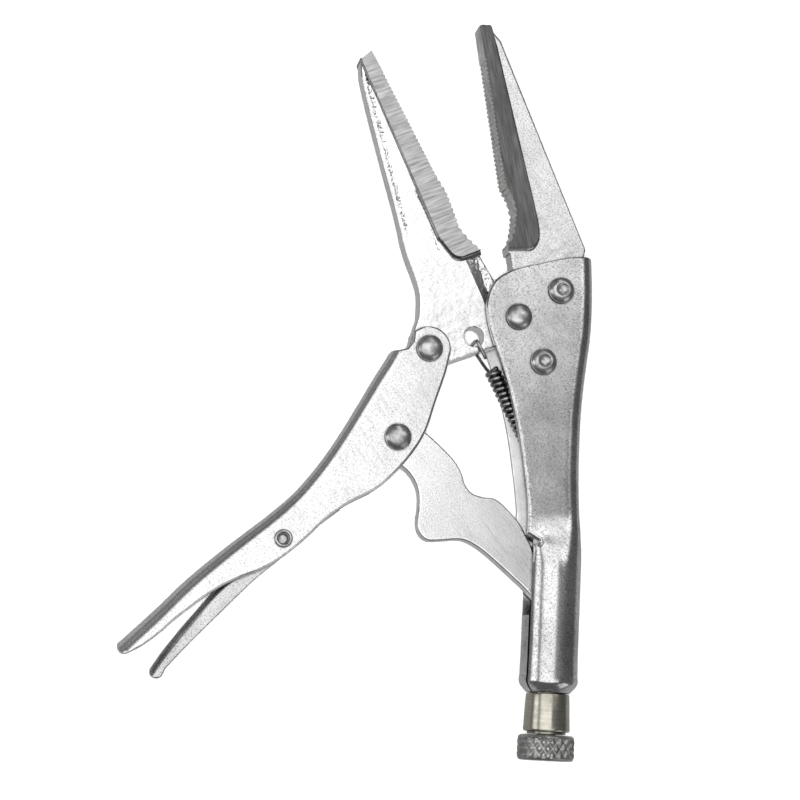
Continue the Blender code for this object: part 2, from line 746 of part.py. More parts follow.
plated = material("plated_steel", (0.72, 0.72, 0.72), 0.32)
forged = material("forged_steel", (0.66, 0.66, 0.66), 0.36)
rivet_steel = material("rivet_steel", (0.48, 0.48, 0.49), 0.2)
spring_steel = material("spring_steel", (0.16, 0.16, 0.16), 0.35)
screw_steel = material("screw_steel", (0.62, 0.61, 0.56), 0.22)

make_fixed_handle(plated)
make_fixed_jaw(forged)
make_moving_jaw(forged)
make_moving_handle(plated)
make_toggle_link(plated)
make_release_lever(plated)
make_rivet("main_pivot_rivet", MAIN_PIVOT, "frame", rivet_steel)
make_rivet("handle_pivot_rivet", HANDLE_PIVOT, "moving_handle", rivet_steel)
make_rivet("link_pivot_rivet", LINK_PIVOT, "moving_handle", rivet_steel)
for place, spot in JAW_RIVETS.items():
    make_rivet("fixed_jaw_rivet_" + place, spot, "frame", rivet_steel, dimple=True)
make_lever_rivet(rivet_steel)
make_tension_spring(spring_steel)
make_adjusting_screw(screw_steel)
make_knurled_knob(screw_steel)
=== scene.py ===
"""The looks of a pair of long-nose locking pliers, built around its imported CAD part.

Lengths are millimetres from the main pivot unless a name says otherwise: +X is
towards the fixed handle's back, +Y towards the jaw tips, +Z up from the floor.
"""

import math

import bmesh
import bpy
from mathutils import Matrix, Vector, kdtree, noise


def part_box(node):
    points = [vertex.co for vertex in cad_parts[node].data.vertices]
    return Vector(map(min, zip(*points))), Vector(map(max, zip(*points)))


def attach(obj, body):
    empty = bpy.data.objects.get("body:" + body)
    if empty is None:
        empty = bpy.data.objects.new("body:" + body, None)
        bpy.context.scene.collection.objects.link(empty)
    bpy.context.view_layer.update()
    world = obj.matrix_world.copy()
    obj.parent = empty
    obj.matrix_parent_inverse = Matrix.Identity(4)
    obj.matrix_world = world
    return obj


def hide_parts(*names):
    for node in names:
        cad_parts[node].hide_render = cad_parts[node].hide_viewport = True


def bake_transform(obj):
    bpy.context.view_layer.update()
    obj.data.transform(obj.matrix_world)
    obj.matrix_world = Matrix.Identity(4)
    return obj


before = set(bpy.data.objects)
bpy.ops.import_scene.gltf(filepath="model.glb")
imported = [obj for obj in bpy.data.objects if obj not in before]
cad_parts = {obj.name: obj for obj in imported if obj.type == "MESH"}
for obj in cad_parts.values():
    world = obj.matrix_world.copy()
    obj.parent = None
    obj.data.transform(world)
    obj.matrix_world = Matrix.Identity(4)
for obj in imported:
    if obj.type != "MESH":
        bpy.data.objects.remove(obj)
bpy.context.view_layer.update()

MM = 0.001
PIVOT_LOW, PIVOT_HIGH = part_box("main_pivot_rivet")
PIVOT = (PIVOT_LOW + PIVOT_HIGH) / 2

# Driving dimensions, as in the CAD part
GAP = 0.3
SHEET = 2.2
CHANNEL_HALF = 6.0
HANDLE_BEND = 3.4
TAIL_BEND = 5.6
FIXED_BEND = 5.0
INNER_BEND = 1.2
LEAST_BEND = 0.8
TRIM_EDGE = 0.9
JAW_HALF = 3.5
PAD_HALF = 4.7
PAD_TIP_HALF = 3.9
LINK_HALF = 2.5
LEVER_SHEET = 1.4
LEVER_HALF = 3.5
LEVER_BENDS = (2.4, 3.3)
LEVER_RIVET_RADIUS = 1.9
TUBE_RADIUS = 8.8
TUBE_X = 15.4
SEAM_ANGLE = 150.0
SEAM_HALF_ANGLE = 2.5
SHANK_RADIUS = 3.0
HEAD_RADIUS = 4.1
HEAD_HEIGHT = 2.8
DIMPLE_RADIUS = 2.3
TOOTH_PITCH = 1.45
TOOTH_DEPTH = 0.45

MAIN_PIVOT = (0.0, 0.0)
HANDLE_PIVOT = (-27.7, -12.4)
LINK_PIVOT = (-36.1, -40.7)
LEVER_PIVOT = (-69.2, -74.1)
JAW_RIVETS = {"upper": (13.2, 9.5), "lower": (8.4, -13.6)}
SPRING_HOLE = (-13.3, -7.0)
SPRING_HOLE_RADIUS = 3.1

# How far a cutting tool goes past what it cuts: just past a face, or well past the whole part
PAST = 0.02
WELL_PAST = 20.0


# ------------------------ outlines


def arc(centre, radius, start, end, steps=16):
    """Points along an arc, angles in degrees."""
    points = []
    for i in range(steps + 1):
        angle = math.radians(start + (end - start) * i / steps)
        points.append((centre[0] + radius * math.cos(angle), centre[1] + radius * math.sin(angle)))
    return points


def between(a, b, c, d, t):
    """A Catmull-Rom curve's value on the way from b to c."""
    square = (2 * a - 5 * b + 4 * c - d) * t**2
    cube = (3 * b - a - 3 * c + d) * t**3
    return 0.5 * (2 * b + (c - a) * t + square + cube)


def curve_through(points, steps=8):
    """A smooth open curve through the points."""
    ends = [points[0], *points, points[-1]]
    result = []
    for four in zip(ends, ends[1:], ends[2:], ends[3:]):
        for i in range(steps):
            result.append(tuple(between(*values, i / steps) for values in zip(*four)))
    result.append(tuple(points[-1]))
    return result


def rounded(corners, step_angle=8.0):
    """An open path from (x, y, radius) corners; all but its two ends are turned with an arc."""
    result = [corners[0][:2]]
    for (x, y, radius), last_corner, next_corner in zip(corners[1:], corners, corners[2:]):
        here = Vector((x, y))
        before = (Vector(last_corner[:2]) - here).normalized()
        after = (Vector(next_corner[:2]) - here).normalized()
        half = math.acos(max(-1.0, min(1.0, before.dot(after)))) / 2
        centre = here + (before + after).normalized() * radius / math.sin(half)
        first = here + before * radius / math.tan(half) - centre
        last = here + after * radius / math.tan(half) - centre
        turn = first.angle_signed(last)
        steps = max(1, round(abs(math.degrees(turn)) / step_angle))
        for k in range(steps + 1):
            angle = math.atan2(first.y, first.x) - turn * k / steps
            result.append((centre.x + radius * math.cos(angle), centre.y + radius * math.sin(angle)))
    result.append(corners[-1][:2])
    return result


def inset(outline, amount):
    """The closed outline moved inwards by amount."""
    count = len(outline)
    turn = 0.0
    for (x0, y0), (x1, y1) in zip(outline, outline[1:] + outline[:1]):
        turn += x0 * y1 - x1 * y0
    inward = 1.0 if turn > 0 else -1.0
    result = []
    for i in range(count):
        before = Vector(outline[i]) - Vector(outline[i - 1])
        after = Vector(outline[(i + 1) % count]) - Vector(outline[i])
        n1 = Vector((-before.y, before.x)).normalized()
        n2 = Vector((-after.y, after.x)).normalized()
        move = (n1 + n2) / max(0.6, 1.0 + n1.dot(n2)) * amount * inward
        result.append((outline[i][0] + move.x, outline[i][1] + move.y))
    return result


def toothed(start, end, side, pitch=TOOTH_PITCH, depth=TOOTH_DEPTH):
    """Teeth along a straight face; their roots lie to the given side of it."""
    run = Vector(end) - Vector(start)
    count = max(1, round(run.length / pitch))
    normal = Vector((-run.y, run.x)).normalized() * side * depth
    points = []
    for i in range(count):
        crest = Vector(start) + run * (i + 0.2) / count
        land = Vector(start) + run * (i + 0.36) / count
        root = Vector(start) + run * (i + 0.78) / count + normal
        points += [tuple(crest), tuple(land), tuple(root)]
    return points


def smooth_step(value, start, end):
    """0 before start, 1 after end, eased between."""
    t = max(0.0, min(1.0, (value - start) / (end - start)))
    return t * t * (3 - 2 * t)


def quarter(steps):
    """Angles from 0 to 90 degrees."""
    return [math.pi / 2 * i / steps for i in range(steps + 1)]


# ------------------------ mesh building


def band_faces(count, rings):
    """The four-sided faces between rings of count vertices that follow each other."""
    faces = []
    for base in range(0, (rings - 1) * count, count):
        for i in range(count):
            j = (i + 1) % count
            faces.append((base + i, base + j, base + count + j, base + count + i))
    return faces


def sewn_faces(rings, sides):
    """The faces between rings of vertex numbers; a ring of one number is a pole."""
    faces = []
    for one, two in zip(rings, rings[1:]):
        for k in range(sides):
            n = k + 1
            corners = [one[k % len(one)], one[n % len(one)], two[n % len(two)], two[k % len(two)]]
            faces.append(tuple(dict.fromkeys(corners)))
    return faces


def piece_mesh(name, vertices, faces):
    """A mesh object from millimetre points, in the part's frame."""
    mesh = bpy.data.meshes.new(name)
    mesh.from_pydata([PIVOT + Vector(v) * MM for v in vertices], [], faces)
    shape = bmesh.new()
    shape.from_mesh(mesh)
    bmesh.ops.recalc_face_normals(shape, faces=shape.faces)
    shape.to_mesh(mesh)
    shape.free()
    item = bpy.data.objects.new(name, mesh)
    bpy.context.scene.collection.objects.link(item)
    return item


def stack(name, outline, levels):
    """The outline at each (inset, z) level, joined into one closed body."""
    count = len(outline)
    vertices = []
    for amount, z in levels:
        vertices += [(x, y, z) for x, y in (inset(outline, amount) if amount else outline)]
    faces = [tuple(reversed(range(count))), tuple(range(len(vertices) - count, len(vertices)))]
    return piece_mesh(name, vertices, faces + band_faces(count, len(levels)))


def rolled(z, edge, steps=4):
    """Levels that round an edge inwards by edge on the way up to z, or down to a negative z."""
    side = 1 if z > 0 else -1
    return [(edge * (1 - math.cos(a)), z - side * edge * (1 - math.sin(a))) for a in quarter(steps)]


def plate(name, outline, low, high, edge=0.0):
    """An outline extruded in z, with rounded edges where edge is over 0."""
    if edge > 0:
        return stack(name, outline, [*reversed(rolled(low, edge)), *rolled(high, edge)])
    return stack(name, outline, [(0.0, low), (0.0, high)])


def box(name, low, high):
    """An upright box between two corners."""
    outline = [(low[0], low[1]), (high[0], low[1]), (high[0], high[1]), (low[0], high[1])]
    return plate(name, outline, low[2], high[2])


def turned(name, profile, centre, axis="z", sides=64):
    """A solid of revolution from (radius, height) points; the ends lie on the axis."""
    vertices = []
    rings = []
    for radius, height in profile:
        ring = []
        for k in range(sides if radius > 0 else 1):
            angle = 2 * math.pi * k / sides
            x = centre[0] + radius * math.cos(angle)
            v = radius * math.sin(angle)
            ring.append(len(vertices))
            vertices.append((x, centre[1] + v, height) if axis == "z" else (x, height, v))
        rings.append(ring)
    return piece_mesh(name, vertices, sewn_faces(rings, sides))


def loft(name, sections):
    """A solid through sections that all have the same number of points."""
    count = len(sections[0])
    vertices = [point for section in sections for point in section]
    faces = [tuple(range(count)), tuple(reversed(range(len(vertices) - count, len(vertices))))]
    return piece_mesh(name, vertices, faces + band_faces(count, len(sections)))


def wire(name, points, radius_at, sides=12):
    """A round bar along millimetre points, of the radius that radius_at gives for a point's number."""
    up = Vector((0, 0, 1))
    sections = []
    for i, point in enumerate(points):
        along = (points[min(len(points) - 1, i + 1)] - points[max(0, i - 1)]).normalized()
        up = (up - along * up.dot(along)).normalized()
        side = along.cross(up)
        ring = []
        for k in range(sides):
            a = 2 * math.pi * k / sides
            ring.append(tuple(point + (side * math.cos(a) + up * math.sin(a)) * radius_at(i)))
        sections.append(ring)
    return loft(name, sections)


def bake(item):
    """Applies the modifiers, and removes the tools that they used."""
    tools = [m.object for m in item.modifiers if m.type == "BOOLEAN"]
    shape = item.evaluated_get(bpy.context.evaluated_depsgraph_get())
    mesh = bpy.data.meshes.new_from_object(shape)
    item.modifiers.clear()
    item.data = mesh
    for tool in tools:
        bpy.data.objects.remove(tool, do_unlink=True)
    return item


def combine(item, tool, operation="DIFFERENCE"):
    """An exact boolean, kept on item until it is baked."""
    step = item.modifiers.new("combine", "BOOLEAN")
    step.operation = operation
    step.solver = "EXACT"
    step.object = tool


def drill(item, centre, radius):
    """A round hole right through, along z."""
    profile = [(0, -WELL_PAST), (radius, -WELL_PAST), (radius, WELL_PAST), (0, WELL_PAST)]
    combine(item, turned("hole_tool", profile, centre, sides=48))


def soften(item, width, angle=38.0):
    """Rounds the sharp edges a little and shades the rest smoothly."""
    shape = bmesh.new()
    shape.from_mesh(item.data)
    bmesh.ops.remove_doubles(shape, verts=shape.verts, dist=0.00001)
    bmesh.ops.dissolve_degenerate(shape, edges=shape.edges, dist=0.00001)
    shape.to_mesh(item.data)
    shape.free()
    if width > 0:
        rounding = item.modifiers.new("soften", "BEVEL")
        rounding.width = width * MM
        rounding.segments = 2
        rounding.limit_method = "ANGLE"
        rounding.angle_limit = math.radians(angle)
        rounding.use_clamp_overlap = True
        rounding.miter_outer = "MITER_ARC"
        bake(item)
    item.data.shade_smooth()
    item.data.set_sharp_from_angle(angle=math.radians(angle))
    even = item.modifiers.new("even_normals", "WEIGHTED_NORMAL")
    even.keep_sharp = True
    even.weight = 100
    return bake(item)


def remesh(item, voxel):
    """One even skin of small faces with softened edges; voxel is their size in millimetres."""
    skin = item.modifiers.new("skin", "REMESH")
    skin.mode = "VOXEL"
    skin.voxel_size = voxel * MM
    relax = item.modifiers.new("relax", "SMOOTH")
    relax.iterations = 3
    relax.factor = 0.5
    bake(item)
    item.data.shade_smooth()


def shape_by(item, move):
    """Moves each vertex, given in millimetres from the pivot, by the vector that move returns."""
    for vertex in item.data.vertices:
        here = (vertex.co - PIVOT) / MM
        vertex.co += Vector(move(here)) * MM
    item.data.update()


# ------------------------ materials


class Nodes:
    """Short ways to add the nodes of one material."""

    def __init__(self, name):
        self.material = bpy.data.materials.new(name)
        self.material.use_nodes = True
        self.tree = self.material.node_tree
        self.shader = self.tree.nodes["Principled BSDF"]
        self.coordinate = self.tree.nodes.new("ShaderNodeTexCoord").outputs["Object"]

    def link(self, source, target):
        """Joins one node's output to another's input."""
        self.tree.links.new(source, target)

    def stretched(self, scale, angle=0.0):
        """The object's coordinates turned about z by an angle in degrees, then scaled."""
        turn = self.tree.nodes.new("ShaderNodeVectorRotate")
        turn.rotation_type = "Z_AXIS"
        turn.inputs["Angle"].default_value = math.radians(angle)
        self.link(self.coordinate, turn.inputs["Vector"])
        size = self.tree.nodes.new("ShaderNodeVectorMath")
        size.operation = "MULTIPLY"
        size.inputs[1].default_value = scale
        self.link(turn.outputs["Vector"], size.inputs[0])
        return size.outputs["Vector"]

    def noise(self, scale, detail=2.0, roughness=0.5, vector=None):
        """Noise from 0 to 1; scale is in waves per metre where the vector isn't stretched."""
        node = self.tree.nodes.new("ShaderNodeTexNoise")
        node.inputs["Scale"].default_value = scale
        node.inputs["Detail"].default_value = detail
        node.inputs["Roughness"].default_value = roughness
        self.link(vector or self.coordinate, node.inputs["Vector"])
        return node.outputs["Fac"]

    def ramp(self, value, stops):
        """Colours or greys at positions from 0 to 1."""
        node = self.tree.nodes.new("ShaderNodeValToRGB")
        elements = node.color_ramp.elements
        while len(elements) < len(stops):
            elements.new(0.5)
        for element, (position, colour) in zip(elements, stops):
            element.position = position
            element.color = (*colour, 1.0) if isinstance(colour, tuple) else (colour, colour, colour, 1.0)
        self.link(value, node.inputs["Fac"])
        return node.outputs["Color"]

    def times(self, one, two):
        """One colour darkened by another."""
        node = self.tree.nodes.new("ShaderNodeMix")
        node.data_type = "RGBA"
        node.blend_type = "MULTIPLY"
        node.inputs["Factor"].default_value = 1.0
        self.link(one, node.inputs["A"])
        self.link(two, node.inputs["B"])
        return node.outputs["Result"]

    def painted_corner_shade(self, distance, dark):
        """Painted shade: white in the open, dark where surfaces meet, from an ambient occlusion node."""
        node = self.tree.nodes.new("ShaderNodeAmbientOcclusion")
        node.samples = 8
        node.inputs["Distance"].default_value = distance * MM
        return self.ramp(node.outputs["AO"], [(0.38, dark), (0.8, 1.0)])

    def bump(self, heights):
        """Bumps of (height, depth in millimetres), one over the other."""
        normal = None
        for height, depth in heights:
            node = self.tree.nodes.new("ShaderNodeBump")
            node.inputs["Strength"].default_value = 1.0
            node.inputs["Distance"].default_value = depth * MM
            self.link(height, node.inputs["Height"])
            if normal:
                self.link(normal, node.inputs["Normal"])
            normal = node.outputs["Normal"]
        self.link(normal, self.shader.inputs["Normal"])

    def finish(self, colour, roughness, metallic=1.0):
        """Joins the colour and roughness to the shader and hands over the material."""
        self.link(colour, self.shader.inputs["Base Color"])
        self.link(roughness, self.shader.inputs["Roughness"])
        self.shader.inputs["Metallic"].default_value = metallic
        return self.material


def plated_sheet(name, light, dark, shade, relief=0.014, metallic=1.0):
    """Dull nickel plate over rolled sheet: a fine orange-peel sparkle with a few darker clouds."""
    n = Nodes(name)
    peel = n.noise(1900, 3.0, 0.65)
    speck = n.noise(3100, 1.0, 0.5)
    cloud = n.noise(70, 4.0, 0.6)
    scratch = n.noise(1.0, 3.0, 0.6, n.stretched((90, 1100, 300), 50.0))
    colour = n.ramp(peel, [(0.32, dark), (0.5, light)])
    colour = n.times(colour, n.ramp(speck, [(0.2, 0.45), (0.33, 1.0)]))
    colour = n.times(colour, n.ramp(cloud, [(0.3, shade), (0.62, 1.0)]))
    colour = n.times(colour, n.ramp(scratch, [(0.3, 0.88), (0.5, 1.0)]))
    # Painted shade: darker in the corners and creases
    colour = n.times(colour, n.painted_corner_shade(1.3, 0.08))
    n.bump([(cloud, 0.03), (peel, relief), (scratch, 0.006)])
    return n.finish(colour, n.ramp(peel, [(0.3, 0.27), (0.7, 0.18)]), metallic)


def ground_steel(name, light, dark, angle):
    """A ground face: streaks across it, at an angle in degrees, over a fine grain."""
    n = Nodes(name)
    streak = n.noise(1.0, 3.0, 0.6, n.stretched((120, 1500, 300), angle))
    band = n.noise(1.0, 2.0, 0.5, n.stretched((25, 260, 60), angle))
    grain = n.noise(2600, 2.0)
    colour = n.ramp(streak, [(0.32, dark), (0.62, light)])
    colour = n.times(colour, n.ramp(band, [(0.35, 0.82), (0.65, 1.0)]))
    # Painted shade: darker in the corners and creases
    colour = n.times(colour, n.painted_corner_shade(1.0, 0.15))
    n.bump([(band, 0.01), (streak, 0.012), (grain, 0.006)])
    return n.finish(colour, n.ramp(streak, [(0.3, 0.45), (0.7, 0.32)]))


def polished_steel(name, light, dark, roughness=0.16):
    """Rivet heads and spring wire: smooth, a little stained, with painted shade in the corners."""
    n = Nodes(name)
    stain = n.noise(420, 3.0, 0.6)
    grain = n.noise(3200, 2.0)
    colour = n.ramp(stain, [(0.35, dark), (0.6, light)])
    # Painted shade: darker in the corners and creases
    colour = n.times(colour, n.painted_corner_shade(1.2, 0.05))
    n.bump([(stain, 0.008), (grain, 0.004)])
    return n.finish(colour, n.ramp(stain, [(0.3, roughness * 1.8), (0.7, roughness)]))


def turned_steel(name, light, dark, roughness=0.2):
    """Turned bar along Y: fine rings round it and a warm film of oil."""
    n = Nodes(name)
    ring = n.noise(1.0, 2.0, 0.6, n.stretched((60, 2600, 60)))
    film = n.noise(160, 3.0, 0.6)
    colour = n.ramp(film, [(0.35, dark), (0.65, light)])
    colour = n.times(colour, n.ramp(ring, [(0.3, 0.8), (0.7, 1.0)]))
    # Painted shade: darker in the corners and creases
    colour = n.times(colour, n.painted_corner_shade(1.0, 0.08))
    n.bump([(ring, 0.008)])
    return n.finish(colour, n.ramp(film, [(0.3, roughness * 1.6), (0.7, roughness)]))


PLATED = plated_sheet("nickel_sheet", 0.93, (0.70, 0.70, 0.71), 0.9)
PLATED_HANDLE = plated_sheet("nickel_handle", 0.86, (0.58, 0.58, 0.59), 0.85, 0.018)
PLATED_GREY = plated_sheet("nickel_sheet_grey", 0.74, (0.33, 0.33, 0.34), 0.7, 0.022)
FORGED_GREY = plated_sheet("nickel_forging_grey", 0.76, (0.40, 0.40, 0.41), 0.8, 0.022)
FORGED = plated_sheet("nickel_forging", 0.93, (0.74, 0.74, 0.75), 0.85)
# The handles' nickel painted darker: painted shade for the dark reflections in the lever's rolled bends
LEVER = plated_sheet("nickel_lever_painted_dark", 0.66, (0.36, 0.36, 0.37), 0.65, 0.022)
# Lighter and less metallic than the handle's grey nickel: painted light on the far wall's inner face
INSIDE_PAINTED_LIGHT = plated_sheet("dull_inside_painted_light", 0.80, 0.55, 0.7, 0.014, 0.3)
# Nearly black nickel: painted shade on the moving jaw's cove, which slopes down away from the lights
COVE_PAINTED_SHADE = plated_sheet("cove_painted_shade", 0.30, 0.10, 0.7)
LEFT_PAD = ground_steel("ground_pad_bright", 0.62, 0.34, -27.0)
# The same ground steel painted very dark: a painted reflection of dark surroundings on the fixed jaw's pad
RIGHT_PAD_PAINTED_DARK = ground_steel("ground_pad_painted_dark", 0.17, 0.10, 76.0)
GRIP = ground_steel("ground_teeth", (0.80, 0.80, 0.78), (0.50, 0.50, 0.48), 70.0)
RIVET = polished_steel("rivet_polish", 0.60, 0.36, 0.24)
SPRING = polished_steel("oiled_wire", 0.42, 0.16, 0.16)
SCREW = turned_steel("turned_screw", (0.62, 0.60, 0.52), (0.44, 0.43, 0.36))
KNOB = turned_steel("knurled_steel", (0.60, 0.60, 0.59), (0.40, 0.40, 0.39), 0.26)


def settle(item, body, slot, finish, *nodes, sides=None):
    """Gives a piece its materials, its body and the CAD nodes that it stands for.

    sides is a second material, for the faces that are nearly upright.
    """
    item.data.materials.clear()
    item.data.materials.append(finish)
    if sides:
        item.data.materials.append(sides)
        for face in item.data.polygons:
            face.material_index = int(abs(face.normal.z) < 0.4)
    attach(item, body)
    if nodes:
        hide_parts(*nodes)


# ------------------------ folded channels


def channel_section(origin, across, depth, half, bend, steps=10):
    """A bar's section: flat walls at +-half, rounded towards the spine at origin."""
    corner = half - bend
    local = [(depth, half)]
    local += [(bend - bend * math.sin(a), corner + bend * math.cos(a)) for a in quarter(steps)]
    local += [(bend - bend * math.sin(a), -corner - bend * math.cos(a)) for a in reversed(quarter(steps))]
    local += [(depth, -half)]
    return [(origin[0] + across[0] * d, origin[1] + across[1] * d, z) for d, z in local]


def channel(name, spine, across, depth, half, bends, sheet, outline, end_wall, edge):
    """A folded channel: a bar along the spine, trimmed to the outline and hollowed from its open side.

    Its bends widen from the first radius at the front to the second at the tail.
    """
    across = Vector(across).normalized()
    path = curve_through(spine, 6)
    radii = []
    for i in range(len(path)):
        radii.append(bends[0] + (bends[1] - bends[0]) * smooth_step(i / len(path), 0.35, 0.95))
    bar = loft(name, [channel_section(p, across, depth, half, r) for p, r in zip(path, radii)])
    combine(bar, plate("outline_tool", outline, -half - PAST, half + PAST, edge), "INTERSECT")
    run = Vector(path[-1]) - Vector(path[-2])
    shift = across * sheet
    sections = []
    for p, radius in zip(path, radii):
        if (Vector(p) - Vector(end_wall)).dot(run) < 0:
            inner = (p[0] + shift.x, p[1] + shift.y)
            bend = max(radius - sheet, LEAST_BEND)
            sections.append(channel_section(inner, across, depth + 5, half - sheet, bend))
    combine(bar, loft("hollow_tool", sections))
    return bar


HANDLE_SPINE = [
    (-29.5, 7.0), (-35.2, -5.4), (-39.8, -15.2), (-43.6, -22.2), (-48.0, -30.7), (-52.9, -39.9),
    (-58.3, -48.9), (-65.2, -58.3), (-72.9, -66.1), (-85.7, -77.3), (-96.7, -87.6), (-105.6, -97.3),
    (-113.1, -105.1), (-120.0, -112.1),
]
HANDLE_EDGE = [
    (-21.2, -14.8), (-22.2, -20.0), (-24.6, -28.2), (-27.4, -38.2), (-31.2, -45.2), (-35.8, -51.2),
    (-41.5, -56.9), (-49.0, -61.4), (-55.8, -66.6), (-62.6, -73.8), (-69.3, -79.9), (-75.5, -83.9),
    (-81.8, -86.8), (-89.4, -91.4), (-98.9, -99.4), (-104.2, -104.6), (-108.6, -108.2),
    (-112.0, -110.2),
]
LEVER_SPINE = [
    (-48.0, -57.8), (-56.0, -61.6), (-63.5, -66.6), (-71.5, -72.6), (-79.6, -80.6), (-88.2, -90.2),
    (-93.3, -96.8), (-98.2, -103.2), (-103.2, -110.4), (-107.5, -117.5),
]
LEVER_EDGE = [
    (-52.4, -64.2), (-60.0, -70.6), (-69.2, -79.8), (-77.0, -87.0), (-86.8, -97.7), (-95.3, -107.2),
    (-101.4, -114.6),
]


def make_moving_handle():
    """Folded channel, open towards the fixed handle, with two round ears at the front."""
    ears = [(-36.6, -13.5), (-34.6, -12.8), (-32.9, -10.6)]
    ears += arc((-27.7, -12.2), 6.9, 135.0, -20.0, 24)
    nose = arc((-113.6, -108.5), 2.3, -65.0, -224.0, 16)
    beyond_spine = [(-125.0, -104.0), (-60.0, -10.0), (-40.0, -14.0)]
    outline = ears + curve_through(HANDLE_EDGE, 5) + nose + beyond_spine
    handle = channel(
        "handle_channel", HANDLE_SPINE, (0.74, -0.67), 40.0, CHANNEL_HALF, (HANDLE_BEND, TAIL_BEND), SHEET,
        outline, (-112.5, -103.9), TRIM_EDGE,
    )
    drill(handle, HANDLE_PIVOT, SHANK_RADIUS + GAP)
    drill(handle, LINK_PIVOT, SHANK_RADIUS + GAP)
    drill(handle, LEVER_PIVOT, LEVER_RIVET_RADIUS + GAP)
    soften(bake(handle), 0.3)
    settle(handle, "moving_handle", "plated_steel", PLATED_HANDLE, "moving_handle")


def make_release_lever():
    """Narrow channel nested in the moving handle; its front arm reaches towards the link."""
    nose = arc((-103.8, -115.4), 2.1, -45.0, -215.0, 16)
    beyond_spine = [(-112.0, -112.0), (-60.0, -50.0), (-51.0, -58.0)]
    outline = curve_through(LEVER_EDGE, 5) + nose + beyond_spine
    lever = channel(
        "lever_channel", LEVER_SPINE, (0.76, -0.65), 20.0, LEVER_HALF, LEVER_BENDS, LEVER_SHEET,
        outline, (-103.4, -112.6), 0.5,
    )
    drill(lever, LEVER_PIVOT, LEVER_RIVET_RADIUS + GAP)
    soften(bake(lever), 0.22)
    # Its darker nickel is painted shade
    settle(lever, "release_lever", "plated_steel", LEVER, "release_lever")


# ------------------------ fixed handle

# (y, spine x, wall edge x): the wall edge is left long where the outline is trimmed afterwards
HANDLE_STATIONS = [
    (23.5, 23.5, -14.0), (16.0, 24.1, -14.0), (8.0, 24.45, -14.0), (1.0, 24.45, -14.0),
    (-5.0, 24.2, -14.0), (-11.0, 23.6, -14.0), (-18.0, 22.9, -14.0), (-25.0, 22.4, -12.0),
    (-32.0, 22.1, -8.0), (-40.0, 22.1, -3.0), (-48.0, 22.2, 1.0), (-54.0, 22.5, 3.0),
    (-59.0, 22.8, 4.0), (-61.5, 23.0, 4.2), (-64.0, 23.2, 4.2), (-66.0, 23.3, 4.2),
    (-67.6, 23.4, 4.2), (-69.0, 23.5, 4.2), (-70.6, 23.6, 4.2), (-72.5, 23.7, 4.2),
    (-74.5, 23.8, 4.2), (-77.0, 23.9, 4.2), (-86.0, 24.2, 4.2), (-98.0, 24.3, 4.2),
]
# Where along y the spine and bends turn into the tube, and where the walls' edges do
BULGE_FROM, BULGE_TO = -60.0, -78.0
CURL_FROM, CURL_TO = -66.5, -71.5
# The near wall's edge from the front to the notch; the far wall's reaches FAR_EDGE_SHIFT further out
NEAR_EDGE = [
    (26.0, 21.1), (17.0, 20.9), (6.0, 17.8), (-3.0, 14.7), (-8.2, 10.6), (-10.1, 5.0), (-10.0, 0.5),
    (-8.0, -6.9), (-3.2, -19.1), (-0.3, -28.6), (1.8, -37.0), (4.0, -49.0), (5.4, -59.0), (5.7, -67.2),
]
FAR_EDGE_SHIFT = 1.2
NOTCH_END = -70.6
NOTCH = [(9.5, -69.2), (9.7, -69.8), (9.4, -70.4)]
# (y, change of outer radius, change of inner radius)
TUBE_END = [
    (-104.0, 0.0, 0.0),
    (-110.0, 0.1, 0.1),
    (-111.6, 0.3, 0.3),
    (-112.6, 0.0, 0.2),
    (-113.4, -0.5, 0.0),
    (-114.2, -1.2, -0.2),
    (-114.8, -1.8, -0.3),
    (-115.2, -2.3, -0.4),
]


def sheet_half(spine_x, edge_x, half, bend, ring_radius, bulge, curl, seam, steps=12, wall_steps=16):
    """Half of the handle's section, from the spine's middle to the wall's edge.

    It is mixed from a folded channel and a rolled tube: bulge mixes the spine
    and the bend, curl mixes the wall's edge, which ends at the seam's angle.
    The bend goes to the tube's angles from bend_start to bend_end, in degrees.
    """
    bend_start, bend_end = 12.0, 75.0
    flat = [(spine_x, (half - bend) * k / 2, bend_start * k / 2, 0.0) for k in range(3)]
    for i in range(1, steps + 1):
        a = math.pi / 2 * i / steps
        x = spine_x - bend + bend * math.cos(a)
        angle = bend_start + (bend_end - bend_start) * i / steps
        flat.append((x, half - bend + bend * math.sin(a), angle, 0.0))
    wall = spine_x - bend
    for i in range(1, wall_steps + 1):
        share = i / wall_steps
        angle = bend_end + (seam - bend_end) * share
        flat.append((wall + (edge_x - wall) * share, half, angle, share))
    points = []
    for x, z, angle, share in flat:
        mix = bulge + (curl - bulge) * share**2
        ring_x = TUBE_X + ring_radius * math.cos(math.radians(angle))
        ring_z = ring_radius * math.sin(math.radians(angle))
        points.append((x + (ring_x - x) * mix, z + (ring_z - z) * mix))
    return points


def sheet_section(y, spine_x, edge_x, half, bend, radius, sheet, bulge, curl):
    """A closed C-shaped section; the far wall wraps round to the seam on the near side."""
    loops = []
    for seam in (SEAM_ANGLE - SEAM_HALF_ANGLE, 360.0 - SEAM_ANGLE - SEAM_HALF_ANGLE):
        outer = sheet_half(spine_x, edge_x, half, bend, radius, bulge, curl, seam)
        inner = sheet_half(
            spine_x - sheet, edge_x, half - sheet, INNER_BEND, radius - sheet, bulge, curl, seam
        )
        loops.append((outer, inner))
    (near_outer, near_inner), (far_outer, far_inner) = loops
    loop = list(reversed(near_outer)) + [(x, -z) for x, z in far_outer[1:]]
    loop += [(x, -z) for x, z in reversed(far_inner)] + near_inner[1:]
    return [(x, y, z) for x, z in loop]


